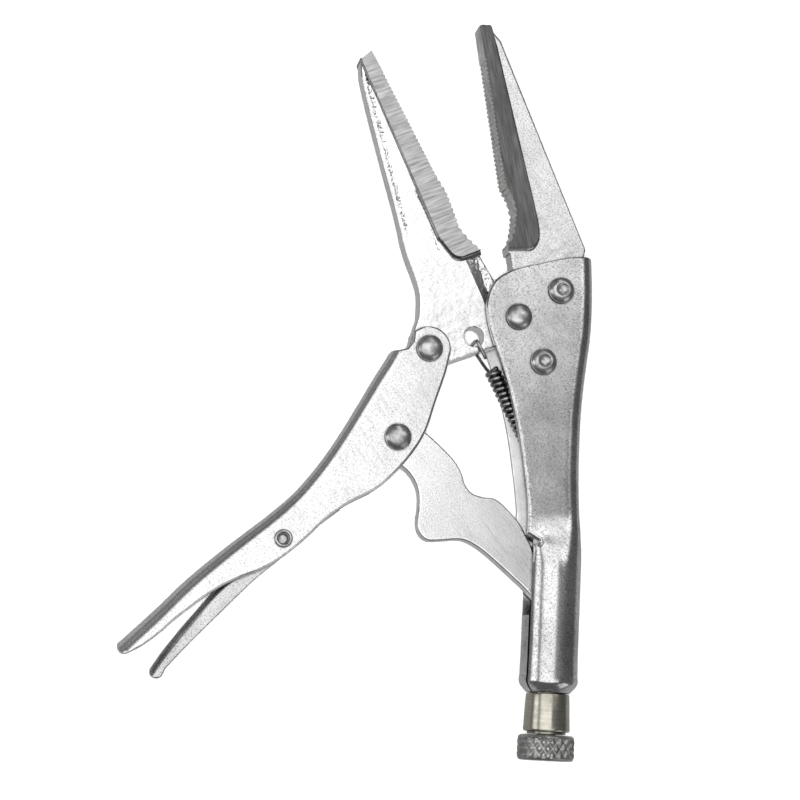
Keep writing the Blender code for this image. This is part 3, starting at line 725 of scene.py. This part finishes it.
def capped_sheet(name, sections):
    """A lofted C-section whose ends are closed by the sheet's thickness only."""
    count = len(sections[0])
    half = count // 2
    vertices = [point for section in sections for point in section]
    faces = band_faces(count, len(sections))
    for base in (0, len(vertices) - count):
        for i in range(half - 1):
            faces.append((base + i, base + i + 1, base + count - 2 - i, base + count - 1 - i))
    return piece_mesh(name, vertices, faces)


def make_fixed_handle():
    """Channel at the jaws, tube at the rear, one folded sheet with a lanced spring tab."""
    sections = []
    for y, spine_x, edge_x in curve_through(HANDLE_STATIONS, 4):
        bulge = smooth_step(-y, -BULGE_FROM, -BULGE_TO)
        curl = smooth_step(-y, -CURL_FROM, -CURL_TO)
        shape = (CHANNEL_HALF, FIXED_BEND, TUBE_RADIUS, SHEET)
        sections.append(sheet_section(y, spine_x, edge_x, *shape, bulge, curl))
    for y, outer_change, inner_change in TUBE_END:
        sheet = SHEET + outer_change - inner_change
        sections.append(sheet_section(y, 0, 0, 1, 1, TUBE_RADIUS + outer_change, sheet, 1, 1))
    handle = capped_sheet("fixed_handle_sheet", sections)

    edge = curve_through(NEAR_EDGE, 6)
    open_side = [(-30.0, NOTCH_END), (-30.0, 30.0), (26.0, 30.0)]
    near = edge + NOTCH + [(5.2, NOTCH_END), *open_side]
    far_edge = [(x - FAR_EDGE_SHIFT * smooth_step(-y, 0.0, 12.0), y) for x, y in edge]
    far = far_edge + NOTCH + [(4.0, NOTCH_END), *open_side]
    roll = [(-amount, z) for amount, z in rolled(CHANNEL_HALF + PAST, TRIM_EDGE)]
    roll = [(0.0, 0.0), *roll, (-TRIM_EDGE, WELL_PAST)]
    combine(handle, stack("near_trim_tool", near, roll))
    combine(handle, stack("far_trim_tool", far, [(amount, -z) for amount, z in reversed(roll)]))
    reach = LINK_HALF + 0.4
    combine(handle, box("link_slot_tool", (-5.0, -92.0, -reach), (TUBE_X - 3, -69.0, 4.1)))
    combine(handle, box("link_gap_tool", (-5.0, -69.5, -reach), (TUBE_X - 3.4, -62.0, reach)))
    combine(handle, box("tab_window_tool", (18.0, -63.0, -2.6), (30.0, -50.0, 2.6)))
    tab = [(22.4, -65.4), (20.6, -66.4), (18.6, -61.4), (12.9, -54.6), (14.0, -53.2), (20.2, -60.0)]
    combine(handle, plate("tab_tool", tab, -2.2, 2.2), "UNION")
    for centre in (MAIN_PIVOT, *JAW_RIVETS.values()):
        drill(handle, centre, SHANK_RADIUS + GAP)
    soften(bake(handle), 0.3)
    settle(handle, "fixed_side", "plated_steel", PLATED_GREY, "fixed_handle")
    # The far wall's inner face is duller and lighter than the rest: painted light where the near wall shades
    # it
    handle.data.materials.append(INSIDE_PAINTED_LIGHT)
    inner = CHANNEL_HALF - SHEET
    for face in handle.data.polygons:
        height = (face.center - PIVOT).z / MM
        face.material_index = int(face.normal.z > 0.7 and -inner - 0.5 < height < 0.5 - inner)


# ------------------------ jaws

FIXED_GRIP = ((-15.9, 92.4), (-14.2, 84.0), (-6.0, 43.0))
FIXED_THROAT = [(-6.0, 43.0), (-3.3, 38.6), (-2.0, 34.0), (-2.2, 29.0), (-3.0, 24.6)]
MOVING_GRIP = ((-50.6, 81.9), (-46.8, 75.6), (-28.2, 43.4))
MOVING_THROAT = [(-28.2, 43.4), (-24.4, 38.0), (-21.6, 31.6), (-19.8, 27.0), (-16.4, 23.6), (-12.9, 20.9)]
# The y of a pad's tip and of the place where it starts to get thinner
FIXED_TAPER = (94.0, 45.0)
MOVING_TAPER = (82.0, 40.0)

# The fold on the moving jaw's near face, and the edge of the relief in front of the fixed handle
FORGING_FOLD = [(-33.8, 37.4), (-29.9, 30.2), (-25.8, 19.8)]
RELIEF_FROM = (-18.1, 18.3)
RELIEF_RUN = Vector((0.47, -0.88)).normalized()


def nearest_to(path):
    """A function that gives a point's distance from the path in the tool's plane."""
    fine = []
    for start, end in zip(path, path[1:]):
        steps = max(1, round((Vector(end) - Vector(start)).length / 0.2))
        fine += [Vector(start).lerp(Vector(end), k / steps) for k in range(steps)]
    tree = kdtree.KDTree(len(fine))
    for index, point in enumerate(fine):
        tree.insert((point.x, point.y, 0.0), index)
    tree.balance()
    return lambda p: tree.find((p.x, p.y, 0.0))[2]


def wrinkle(p, height):
    """Low waves in a forging's skin, in millimetres."""
    return height * (noise.noise(p * 0.45) + 0.6 * noise.noise(p * 1.3))


def throat_teeth(points, side):
    """Larger teeth along the hollow part of the jaw."""
    result = []
    for start, end in zip(points, points[1:]):
        result += toothed(start, end, side, TOOTH_PITCH * 1.35, TOOTH_DEPTH * 1.3)
    return result


def pad_height(y, taper):
    """The pad's half thickness, thinner towards the tip."""
    tip_y, base_y = taper
    share = max(0.0, min(1.0, (y - base_y) / (tip_y - base_y)))
    return PAD_HALF + (PAD_TIP_HALF - PAD_HALF) * share


def make_pad(name, outline, taper):
    """A raised gripping pad whose faces lie at pad_height."""
    pad = plate(name, outline, -PAD_HALF, PAD_HALF, 0.15)
    shape = bmesh.new()
    shape.from_mesh(pad.data)
    everything = shape.verts[:] + shape.edges[:] + shape.faces[:]
    kink = PIVOT + Vector((0, taper[1], 0)) * MM
    bmesh.ops.bisect_plane(shape, geom=everything, plane_co=kink, plane_no=(0, 1, 0))
    shape.to_mesh(pad.data)
    shape.free()
    shape_by(pad, lambda p: (0.0, 0.0, p.z * (pad_height(p.y, taper) / PAD_HALF - 1)))
    return soften(pad, 0.0)


def make_cove(name, path, taper, body, finish, side):
    """The hollow slope from a pad's back edge down to the forging: wide below, narrow at the tip."""
    sections = []
    for i, (x, y) in enumerate(path):
        along = Vector(path[min(len(path) - 1, i + 1)]) - Vector(path[max(0, i - 1)])
        out = Vector((along.y, -along.x)).normalized() * side
        width = min(0.6 + 0.9 * max(0.0, -out.y) ** 2, 0.2 + 0.1 * max(0.0, taper[0] - y))
        top = pad_height(y, taper) - 0.12
        drop = top - JAW_HALF
        half = [(-0.3, top), (0.0, top), (0.12 * width, top - 0.45 * drop)]
        half += [(0.45 * width, top - 0.8 * drop), (width, JAW_HALF - 0.05)]
        profile = half + [(d, -z) for d, z in reversed(half)]
        sections.append([(x + out.x * d, y + out.y * d, z) for d, z in profile])
    cove = soften(loft(name, sections), 0.0, angle=60.0)
    settle(cove, body, "forged_steel", finish)


def make_fixed_jaw():
    """Forged jaw with its root between the handle's walls, and its ground gripping pad."""
    body = [(-16.2, 94.3), (-15.4, 94.9), (-13.4, 94.9), (-11.2, 92.3), (-9.0, 90.0)]
    root = [(-9.0, 90.0, 0), (10.9, 46.8, 30.0), (21.4, 24.2, 1.0), (20.8, 20.6, 2.0), (20.9, 4.0, 6.0)]
    root += [(20.4, -10.0, 4.0), (18.6, -19.8, 3.0), (4.6, -20.2, 4.0), (2.7, -12.0, 0)]
    body += rounded(root)[1:]
    body += arc(MAIN_PIVOT, 7.2, -62.0, 66.0, 16)
    body += [(0.4, 9.0), (-1.3, 12.5), (-2.3, 17.0), (-3.7, 23.8), (-2.0, 26.0), (-1.2, 33.0), (-2.6, 38.0)]
    body += [(-5.2, 43.0), (-13.4, 84.0), (-15.3, 92.4)]
    jaw = plate("fixed_jaw_forging", body, -JAW_HALF, JAW_HALF, 0.45)
    for centre in JAW_RIVETS.values():
        drill(jaw, centre, SHANK_RADIUS + GAP)
    remesh(bake(jaw), 0.35)
    shape_by(jaw, lambda p: (0.0, 0.0, wrinkle(p, 0.035)))
    settle(jaw, "fixed_side", "forged_steel", FORGED_GREY, "fixed_jaw")
    teeth = [FIXED_GRIP[0]] + toothed(FIXED_GRIP[1], FIXED_GRIP[2], 1) + throat_teeth(FIXED_THROAT, 1)
    pad = [(-16.3, 94.1), *teeth, (-3.9, 23.6), (-3.8, 22.2)]
    back = [(-3.8, 22.2, 0), (6.0, 23.1, 4.2), (5.5, 30.5, 12.0), (-10.8, 88.4, 4.0), (-12.6, 94.8, 0.6)]
    back = rounded([*back, (-16.3, 94.1, 0)])
    pad += back[1:-1]
    grip = make_pad("fixed_jaw_pad", pad, FIXED_TAPER)
    # Its pad's dark colour is a painted reflection of dark surroundings
    settle(grip, "fixed_side", "forged_steel", RIGHT_PAD_PAINTED_DARK, sides=GRIP)
    slope = [point for point in back[:-2] if point[1] < FIXED_TAPER[0] + 0.3]
    make_cove("fixed_jaw_cove", slope, FIXED_TAPER, "fixed_side", FORGED_GREY, 1)


def make_moving_jaw():
    """Forged jaw whose root carries the main pivot, the handle's rivet and the spring's hook."""
    back = [(-53.9, 78.6), (-53.6, 75.0), (-52.9, 71.6), (-49.6, 60.3), (-44.3, 43.6), (-39.8, 29.8)]
    back += [(-36.6, 18.8), (-32.9, 10.0), (-31.4, 5.0), (-31.2, -2.0)]
    back = curve_through(back, 5)
    body = back + arc(HANDLE_PIVOT, 6.0, 165.0, 285.0, 16)
    body += arc(MAIN_PIVOT, 6.2, -66.0, 78.0, 16)
    body += curve_through([(-2.8, 7.6), (-6.9, 11.2), (-12.3, 19.3)], 4)
    body += [(-13.6, 20.4), (-17.0, 23.0), (-20.6, 26.6), (-22.4, 31.4), (-25.2, 37.8), (-29.0, 43.4)]
    body += [(-47.6, 75.6), (-51.2, 81.3)]
    jaw = plate("moving_jaw_forging", body, -JAW_HALF, JAW_HALF, 0.45)
    drill(jaw, MAIN_PIVOT, SHANK_RADIUS + GAP)
    drill(jaw, HANDLE_PIVOT, SHANK_RADIUS + GAP)
    drill(jaw, SPRING_HOLE, SPRING_HOLE_RADIUS)
    remesh(bake(jaw), 0.3)
    flank = nearest_to(back)
    fold = nearest_to(curve_through(FORGING_FOLD, 8))

    def forge(p):
        """Bevelled flank, the folds beside it and the relief in front of the fixed handle."""
        side = 1 if p.z > 0 else -1
        if abs(p.z) < 1.0:
            return (0.0, 0.0, 0.0)
        from_flank = flank(p)
        nose = smooth_step(p.y, 20.0, 27.0)
        rough = 0.6 + 0.8 * noise.noise(p * 1.4)
        drop = 0.5 * max(0.0, 1 - from_flank / 1.5) * nose
        drop += 0.7 * math.exp(-(((from_flank - 1.9) / 0.7) ** 2)) * nose * rough
        drop += 0.32 * math.exp(-((fold(p) / 0.45) ** 2)) * rough
        across = Vector((p.x - RELIEF_FROM[0], p.y - RELIEF_FROM[1]))
        along = across.dot(RELIEF_RUN)
        away = across.dot(Vector((-RELIEF_RUN.y, RELIEF_RUN.x)))
        drop += 1.6 * max(0.0, min(1.0, away / max(2.4, 5.1 - 0.2 * along))) * (0.9 + 0.12 * rough)
        share = min(1.0, (abs(p.z) - 1.0) / 2.0)
        return (0.0, 0.0, side * (wrinkle(p, 0.03) - drop * share))

    shape_by(jaw, forge)
    settle(jaw, "moving_jaw", "forged_steel", FORGED, "moving_jaw")
    teeth = toothed(MOVING_GRIP[1], MOVING_GRIP[2], -1) + throat_teeth(MOVING_THROAT, -1)
    pad = [MOVING_GRIP[0], *teeth, (-12.8, 20.6)]
    back = [(-12.8, 20.6, 0), (-20.2, 17.0, 3.6), (-26.0, 23.4, 5.0), (-53.7, 78.8, 0.5)]
    back = rounded([*back, (-50.6, 81.9, 0)])
    pad += back[1:-1]
    grip = make_pad("moving_jaw_pad", pad, MOVING_TAPER)
    settle(grip, "moving_jaw", "forged_steel", LEFT_PAD, sides=GRIP)
    # The cove is painted nearly black: painted shade on its downward slope
    make_cove("moving_jaw_cove", back[:-2], MOVING_TAPER, "moving_jaw", COVE_PAINTED_SHADE, -1)


# ------------------------ toggle link


def make_toggle_link():
    """Flat wavy plate; its rear end is rounded to bear on the screw's tip."""
    upper = [(12.0, -78.6), (5.3, -66.2), (1.6, -61.7), (-3.6, -57.3), (-7.8, -56.8), (-11.4, -55.8)]
    upper += [(-13.7, -53.4), (-15.0, -49.9), (-17.6, -46.0), (-22.5, -41.5), (-28.5, -36.8)]
    lower = [(-37.5, -47.0), (-33.4, -49.4), (-30.4, -52.2), (-28.4, -56.0), (-27.9, -60.5), (-28.2, -65.8)]
    lower += [(-27.2, -69.4), (-24.6, -71.3), (-20.5, -71.1), (-14.3, -70.4), (-9.8, -71.9), (-4.8, -75.2)]
    lower += [(5.5, -83.4)]
    outline = curve_through(upper, 6) + arc(LINK_PIVOT, 6.4, 60.0, 245.0, 20)
    outline += curve_through(lower, 6) + arc((14.5, -85.0), 5.0, -135.0, 20.0, 16)
    link = plate("toggle_link_plate", outline, -LINK_HALF, LINK_HALF, 0.7)
    drill(link, LINK_PIVOT, SHANK_RADIUS + GAP)
    soften(bake(link), 0.0)
    settle(link, "toggle_link", "plated_steel", PLATED, "toggle_link")


# ------------------------ rivets


def dome(face, radius, height, steps=12):
    """Half of a rivet's head, from its rim at the sheet to its crown."""
    rim = 0.5
    points = [(radius - 0.15, face), (radius, face + 0.15), (radius, face + rim)]
    for a in quarter(steps)[1:-1]:
        points.append((radius * math.cos(a), face + rim + (height - rim) * math.sin(a)))
    return [*points, (0.0, face + height)]


def mirrored(profile):
    """The same profile below the mid-plane, read from crown to shank."""
    return [(r, -z) for r, z in reversed(profile)]


def make_rivet(node, centre, body, dimple=False):
    """Shank between two heads; a semi-tubular rivet has a dimple in its near head."""
    face = CHANNEL_HALF + GAP
    near = head = dome(face, HEAD_RADIUS, HEAD_HEIGHT)
    if dimple:
        bowl = [(2.2, 2.38), (2.05, 2.35), (1.95, 2.2), (1.8, 1.9), (1.5, 1.65), (1.0, 1.45), (0.5, 1.36)]
        near = [point for point in head if point[0] > DIMPLE_RADIUS]
        near += [(r, face + depth) for r, depth in [*bowl, (0.0, 1.33)]]
    profile = mirrored(head) + [(SHANK_RADIUS, -face), (SHANK_RADIUS, face)] + near
    rivet = soften(turned(node + "_head", profile, centre), 0.0, angle=50.0)
    settle(rivet, body, "rivet_steel", RIVET, node)


def make_lever_rivet():
    """Small hollow rivet with a rolled rim."""
    face = CHANNEL_HALF + GAP
    rim = [(LEVER_RIVET_RADIUS, 0), (2.6, 0), (2.72, 0.2), (2.7, 0.5), (2.5, 0.72), (2.25, 0.8), (2.0, 0.75)]
    bore = [(1.8, 0.55), (1.65, 0), (1.5, -1.4), (1.2, -2.0), (0.0, -2.2)]
    half = [(r, face + rise) for r, rise in rim + bore]
    rivet = turned("lever_rivet_tube", mirrored(half) + half, LEVER_PIVOT, sides=48)
    settle(soften(rivet, 0.0, angle=50.0), "moving_handle", "rivet_steel", RIVET, "release_lever_rivet")


# ------------------------ spring

COIL_FRONT = Vector((-6.5, -16.5, 0.0))
COIL_REAR = Vector((7.5, -41.4, 0.0))
COIL_RADIUS = 2.6
COIL_PITCH = 1.75
COIL_WIRE_RADIUS = 0.8
HOOK_WIRE_RADIUS = 0.5


def make_tension_spring():
    """A wound wire with a hook at each end, stretched between the jaw's hole and the handle's tab."""
    axis = (COIL_REAR - COIL_FRONT).normalized()
    rise = Vector((0, 0, 1))
    side = axis.cross(rise)
    hole = Vector((SPRING_HOLE[0] + 0.8, SPRING_HOLE[1] - 1.3, 0.0))
    tab_tip = Vector((13.4, -53.9, 0.0))
    mean = COIL_RADIUS - COIL_WIRE_RADIUS
    length = (COIL_REAR - COIL_FRONT).length
    turns = length / COIL_PITCH
    steps = round(turns * 24)
    coil = []
    for i in range(steps + 1):
        share = i / steps
        angle = math.pi + 2 * math.pi * turns * share
        around = side * math.cos(angle) * mean + rise * math.sin(angle) * mean
        coil.append(COIL_FRONT + axis * length * share + around)
    # Over the jaw, down through its hole and back under it to the coil
    front = [
        hole + rise * 3.9 + Vector((3.0, -5.4, 0)),
        hole + rise * 4.3 + Vector((2.5, -4.6, 0)),
        hole + rise * 4.4 + Vector((0.3, -0.7, 0)),
        hole + rise * 2.6,
        hole - rise * 2.6,
        hole - rise * 4.4 + Vector((0.3, -0.7, 0)),
        hole - rise * 4.3 + Vector((2.6, -3.9, 0)),
        Vector((-7.3, -16.2, -2.6)),
        Vector((-6.0, -16.8, -1.2)),
    ]
    # From the coil to the tab and along under it
    rear = [
        COIL_REAR + axis * 1.2 - rise * 1.4,
        COIL_REAR + axis * 3.5 - rise * 2.9,
        tab_tip + Vector((-1.6, 2.6, -3.0)),
        tab_tip + Vector((0.8, -1.2, -3.0)),
    ]
    front_curve = [Vector(p) for p in curve_through([*front, coil[0]])]
    rear_curve = [Vector(p) for p in curve_through([coil[-1], *rear])]
    path = front_curve + coil[1:-1] + rear_curve
    wound = range(len(front_curve), len(front_curve) + len(coil) - 2)
    spring = wire("wound_spring", path, lambda i: COIL_WIRE_RADIUS if i in wound else HOOK_WIRE_RADIUS)
    spring.data.shade_smooth()
    spring.data.materials.append(SPRING)
    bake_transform(spring)
    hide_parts("tension_spring")


# ------------------------ screw and knob

SCREW_RADIUS = 5.85
THREAD_PITCH = 1.75
THREAD_DEPTH = 0.85
KNOB_RADIUS = 8.7
KNURL_COUNT = 20
KNURL_DEPTH = 0.6


def make_adjusting_screw():
    """Threaded stud with a flared collar and a groove before the knob."""
    columns = 48
    start, end = -92.6, -113.4
    rows_per_turn = 14
    rows = round((start - end) / THREAD_PITCH * rows_per_turn)
    vertices = []
    for r in range(rows + 1):
        y = start + (end - start) * r / rows
        for k in range(columns):
            phase = (y / THREAD_PITCH + k / columns) % 1.0
            crest = max(0.0, 1.0 - abs(phase - 0.5) * 2.3)
            fade = smooth_step(y, start, start - 1.6) * smooth_step(y, end, end + 1.2)
            radius = SCREW_RADIUS - THREAD_DEPTH + THREAD_DEPTH * min(1.0, crest * 1.2) * fade
            angle = 2 * math.pi * k / columns
            vertices.append((TUBE_X + radius * math.cos(angle), y, radius * math.sin(angle)))
    faces = band_faces(columns, rows + 1)
    faces.append(tuple(range(columns)))
    faces.append(tuple(reversed(range(rows * columns, rows * columns + columns))))
    thread = piece_mesh("screw_thread", vertices, faces)
    thread.data.shade_smooth()
    thread.data.set_sharp_from_angle(angle=math.radians(50))
    settle(thread, "screw", "screw_steel", SCREW)
    profile = [(0.0, -113.0), (5.2, -113.0), (5.3, -113.2), (5.3, -115.5), (6.3, -115.5), (6.6, -115.65)]
    profile += [(6.66, -116.0), (6.75, -117.6), (6.9, -121.5), (7.1, -126.1), (7.05, -126.5), (6.9, -126.75)]
    profile += [(6.6, -126.85), (6.0, -126.9), (SCREW_RADIUS, -127.0), (SCREW_RADIUS, -127.6)]
    profile += [(3.0, -127.6), (3.0, -132.6), (0.0, -132.6)]
    collar = turned("screw_collar", profile, (TUBE_X, 0), axis="y", sides=80)
    settle(soften(collar, 0.0, angle=40.0), "screw", "screw_steel", SCREW, "adjusting_screw")
    tip = [(0.0, -91.7), (2.4, -91.72), (3.2, -91.8), (4.2, -92.2), (4.8, -92.7), (5.0, -93.4), (0.0, -93.4)]
    point = turned("screw_tip", tip, (TUBE_X, 0), axis="y")
    settle(soften(point, 0.0, angle=40.0), "screw", "screw_steel", SCREW)


def make_knurled_knob():
    """The screw's head: a rounded disc with a crossed knurl and a flat end."""
    columns = KNURL_COUNT * 14
    front, back = -127.9, -135.6
    socket = -132.9
    band_start, band_end = -128.7, -134.8
    rows = 44
    edge = [(7.3, 0.0), (7.9, 0.06), (8.25, 0.25), (8.45, 0.55)]
    profile = [(0.0, socket, 0.0), (3.3, socket, 0.0), (3.3, front, 0.0)]
    profile += [(r, front - depth, 0.0) for r, depth in edge]
    for i in range(rows + 1):
        y = band_start + (band_end - band_start) * i / rows
        fade = min(1.0, i / 3, (rows - i) / 3)
        profile.append((KNOB_RADIUS - 0.14 * (1 - fade), y, fade))
    profile += [(r, back + depth, 0.0) for r, depth in reversed(edge)]
    profile += [(3.0, back, 0.0), (0.0, back, 0.0)]
    step = 1.4 * 2 * math.pi * KNOB_RADIUS / KNURL_COUNT
    vertices = []
    rings = []
    for radius, y, amount in profile:
        ring = []
        for k in range(columns if radius > 0 else 1):
            along = y / step
            one = abs(((k * KNURL_COUNT / columns + along) % 1.0) - 0.5) * 2
            two = abs(((k * KNURL_COUNT / columns - along) % 1.0) - 0.5) * 2
            cut = max(0.0, 1.0 - min(one, two) * 1.4) if amount else 0.0
            size = radius - KNURL_DEPTH * cut * amount
            angle = 2 * math.pi * k / columns
            ring.append(len(vertices))
            vertices.append((TUBE_X + size * math.cos(angle), y, size * math.sin(angle)))
        rings.append(ring)
    knob = piece_mesh("knob_knurl", vertices, sewn_faces(rings, columns))
    soften(knob, 0.0, angle=42.0)
    settle(knob, "knob", "screw_steel", KNOB, "knurled_knob")


# ------------------------ studio

CAMERA_FROM = Vector((-135.8, -133.3, 600.0))
CAMERA_TO = Vector((-35.06, -28.24, 0.0))
CAMERA_ROLL = -3.0
CAMERA_LENS = 89.91


def add_camera():
    """The camera nearly over the tool, a little to its lower left."""
    data = bpy.data.cameras.new("camera")
    data.lens = CAMERA_LENS
    data.sensor_width = 36.0
    data.clip_start = 0.01
    camera = bpy.data.objects.new("camera", data)
    bpy.context.scene.collection.objects.link(camera)
    forward = (CAMERA_TO - CAMERA_FROM).normalized()
    roll = math.radians(CAMERA_ROLL)
    right = forward.cross(Vector((math.sin(roll), math.cos(roll), 0.0))).normalized()
    up = right.cross(forward)
    turn = Matrix((right, up, -forward)).transposed()
    camera.matrix_world = Matrix.Translation(PIVOT + CAMERA_FROM * MM) @ turn.to_4x4()
    bpy.context.scene.camera = camera


def add_light(name, place, size, brightness, aim=(0.0, 0.0, 0.0)):
    """A square soft light aimed at a point, all in metres; brightness is its face's radiance."""
    data = bpy.data.lights.new(name, "AREA")
    data.shape = "SQUARE"
    data.size = size
    data.energy = brightness * math.pi * size**2
    light = bpy.data.objects.new(name, data)
    bpy.context.scene.collection.objects.link(light)
    light.location = place
    light.rotation_euler = (Vector(aim) - Vector(place)).to_track_quat("-Z", "Y").to_euler()
    return light


def add_floor():
    """A wide pale sheet that the tool lies on; the metal mirrors floor_glow in its place."""
    size = 1.6
    corners = [(-size, -size, 0), (size, -size, 0), (size, size, 0), (-size, size, 0)]
    mesh = bpy.data.meshes.new("floor")
    mesh.from_pydata(corners, [], [(0, 1, 2, 3)])
    floor = bpy.data.objects.new("floor", mesh)
    bpy.context.scene.collection.objects.link(floor)
    n = Nodes("floor_paper")
    grain = n.noise(400, 2.0)
    n.bump([(grain, 0.02)])
    colour = n.ramp(grain, [(0.3, 0.90), (0.7, 0.93)])
    floor.data.materials.append(n.finish(colour, n.ramp(grain, [(0.3, 0.75), (0.7, 0.7)]), 0.0))
    floor.visible_glossy = False


def add_world(strength):
    """An even, dim surround."""
    world = bpy.data.worlds.new("surround")
    world.use_nodes = True
    world.node_tree.nodes["Background"].inputs["Color"].default_value = (1.0, 1.0, 1.0, 1.0)
    world.node_tree.nodes["Background"].inputs["Strength"].default_value = strength
    bpy.context.scene.world = world


make_fixed_handle()
make_fixed_jaw()
make_moving_jaw()
make_moving_handle()
make_release_lever()
make_toggle_link()
make_rivet("main_pivot_rivet", MAIN_PIVOT, "fixed_side")
make_rivet("handle_pivot_rivet", HANDLE_PIVOT, "moving_handle")
make_rivet("link_pivot_rivet", LINK_PIVOT, "moving_handle")
for place, spot in JAW_RIVETS.items():
    make_rivet("fixed_jaw_rivet_" + place, spot, "fixed_side", dimple=True)
make_lever_rivet()
make_tension_spring()
make_adjusting_screw()
make_knurled_knob()

add_camera()
add_floor()
add_world(0.12)
add_light("key", (-0.48, -0.05, 1.15), 1.5, 1.35, (-0.48, -0.05, 0.0))
add_light("key_back", (0.45, 0.52, 1.15), 0.5, 1.1, (0.45, 0.52, 0.0))
add_light("key_front", (0.38, -0.36, 1.15), 0.45, 1.5, (0.38, -0.36, 0.0))
add_light("rim", (0.85, 0.46, 1.1), 0.45, 1.4)
add_light("far_back", (0.3, 1.05, 1.1), 0.45, 1.2)
add_light("left", (-1.3, -0.15, 0.45), 0.6, 1.9, (0.0, -0.1, 0.0))
# The floor isn't mirrored; this light under it is what the metal mirrors there
add_light("floor_glow", (0.0, 0.0, -0.3), 3.0, 0.3)
add_light("top_spot", (0.1, 1.1, 0.6), 0.25, 2.5)
add_light("low_left", (-0.9, 0.9, 0.35), 0.6, 0.15)
add_light("low_right", (0.9, -0.9, 0.4), 0.7, 0.8)
# From the camera's place, so that its shadows are hidden, and not mirrored either
floor_fill = add_light("floor_fill", PIVOT + CAMERA_FROM * MM, 0.08, 220.0)
floor_fill.visible_glossy = False
bpy.context.scene.view_settings.view_transform = "Standard"
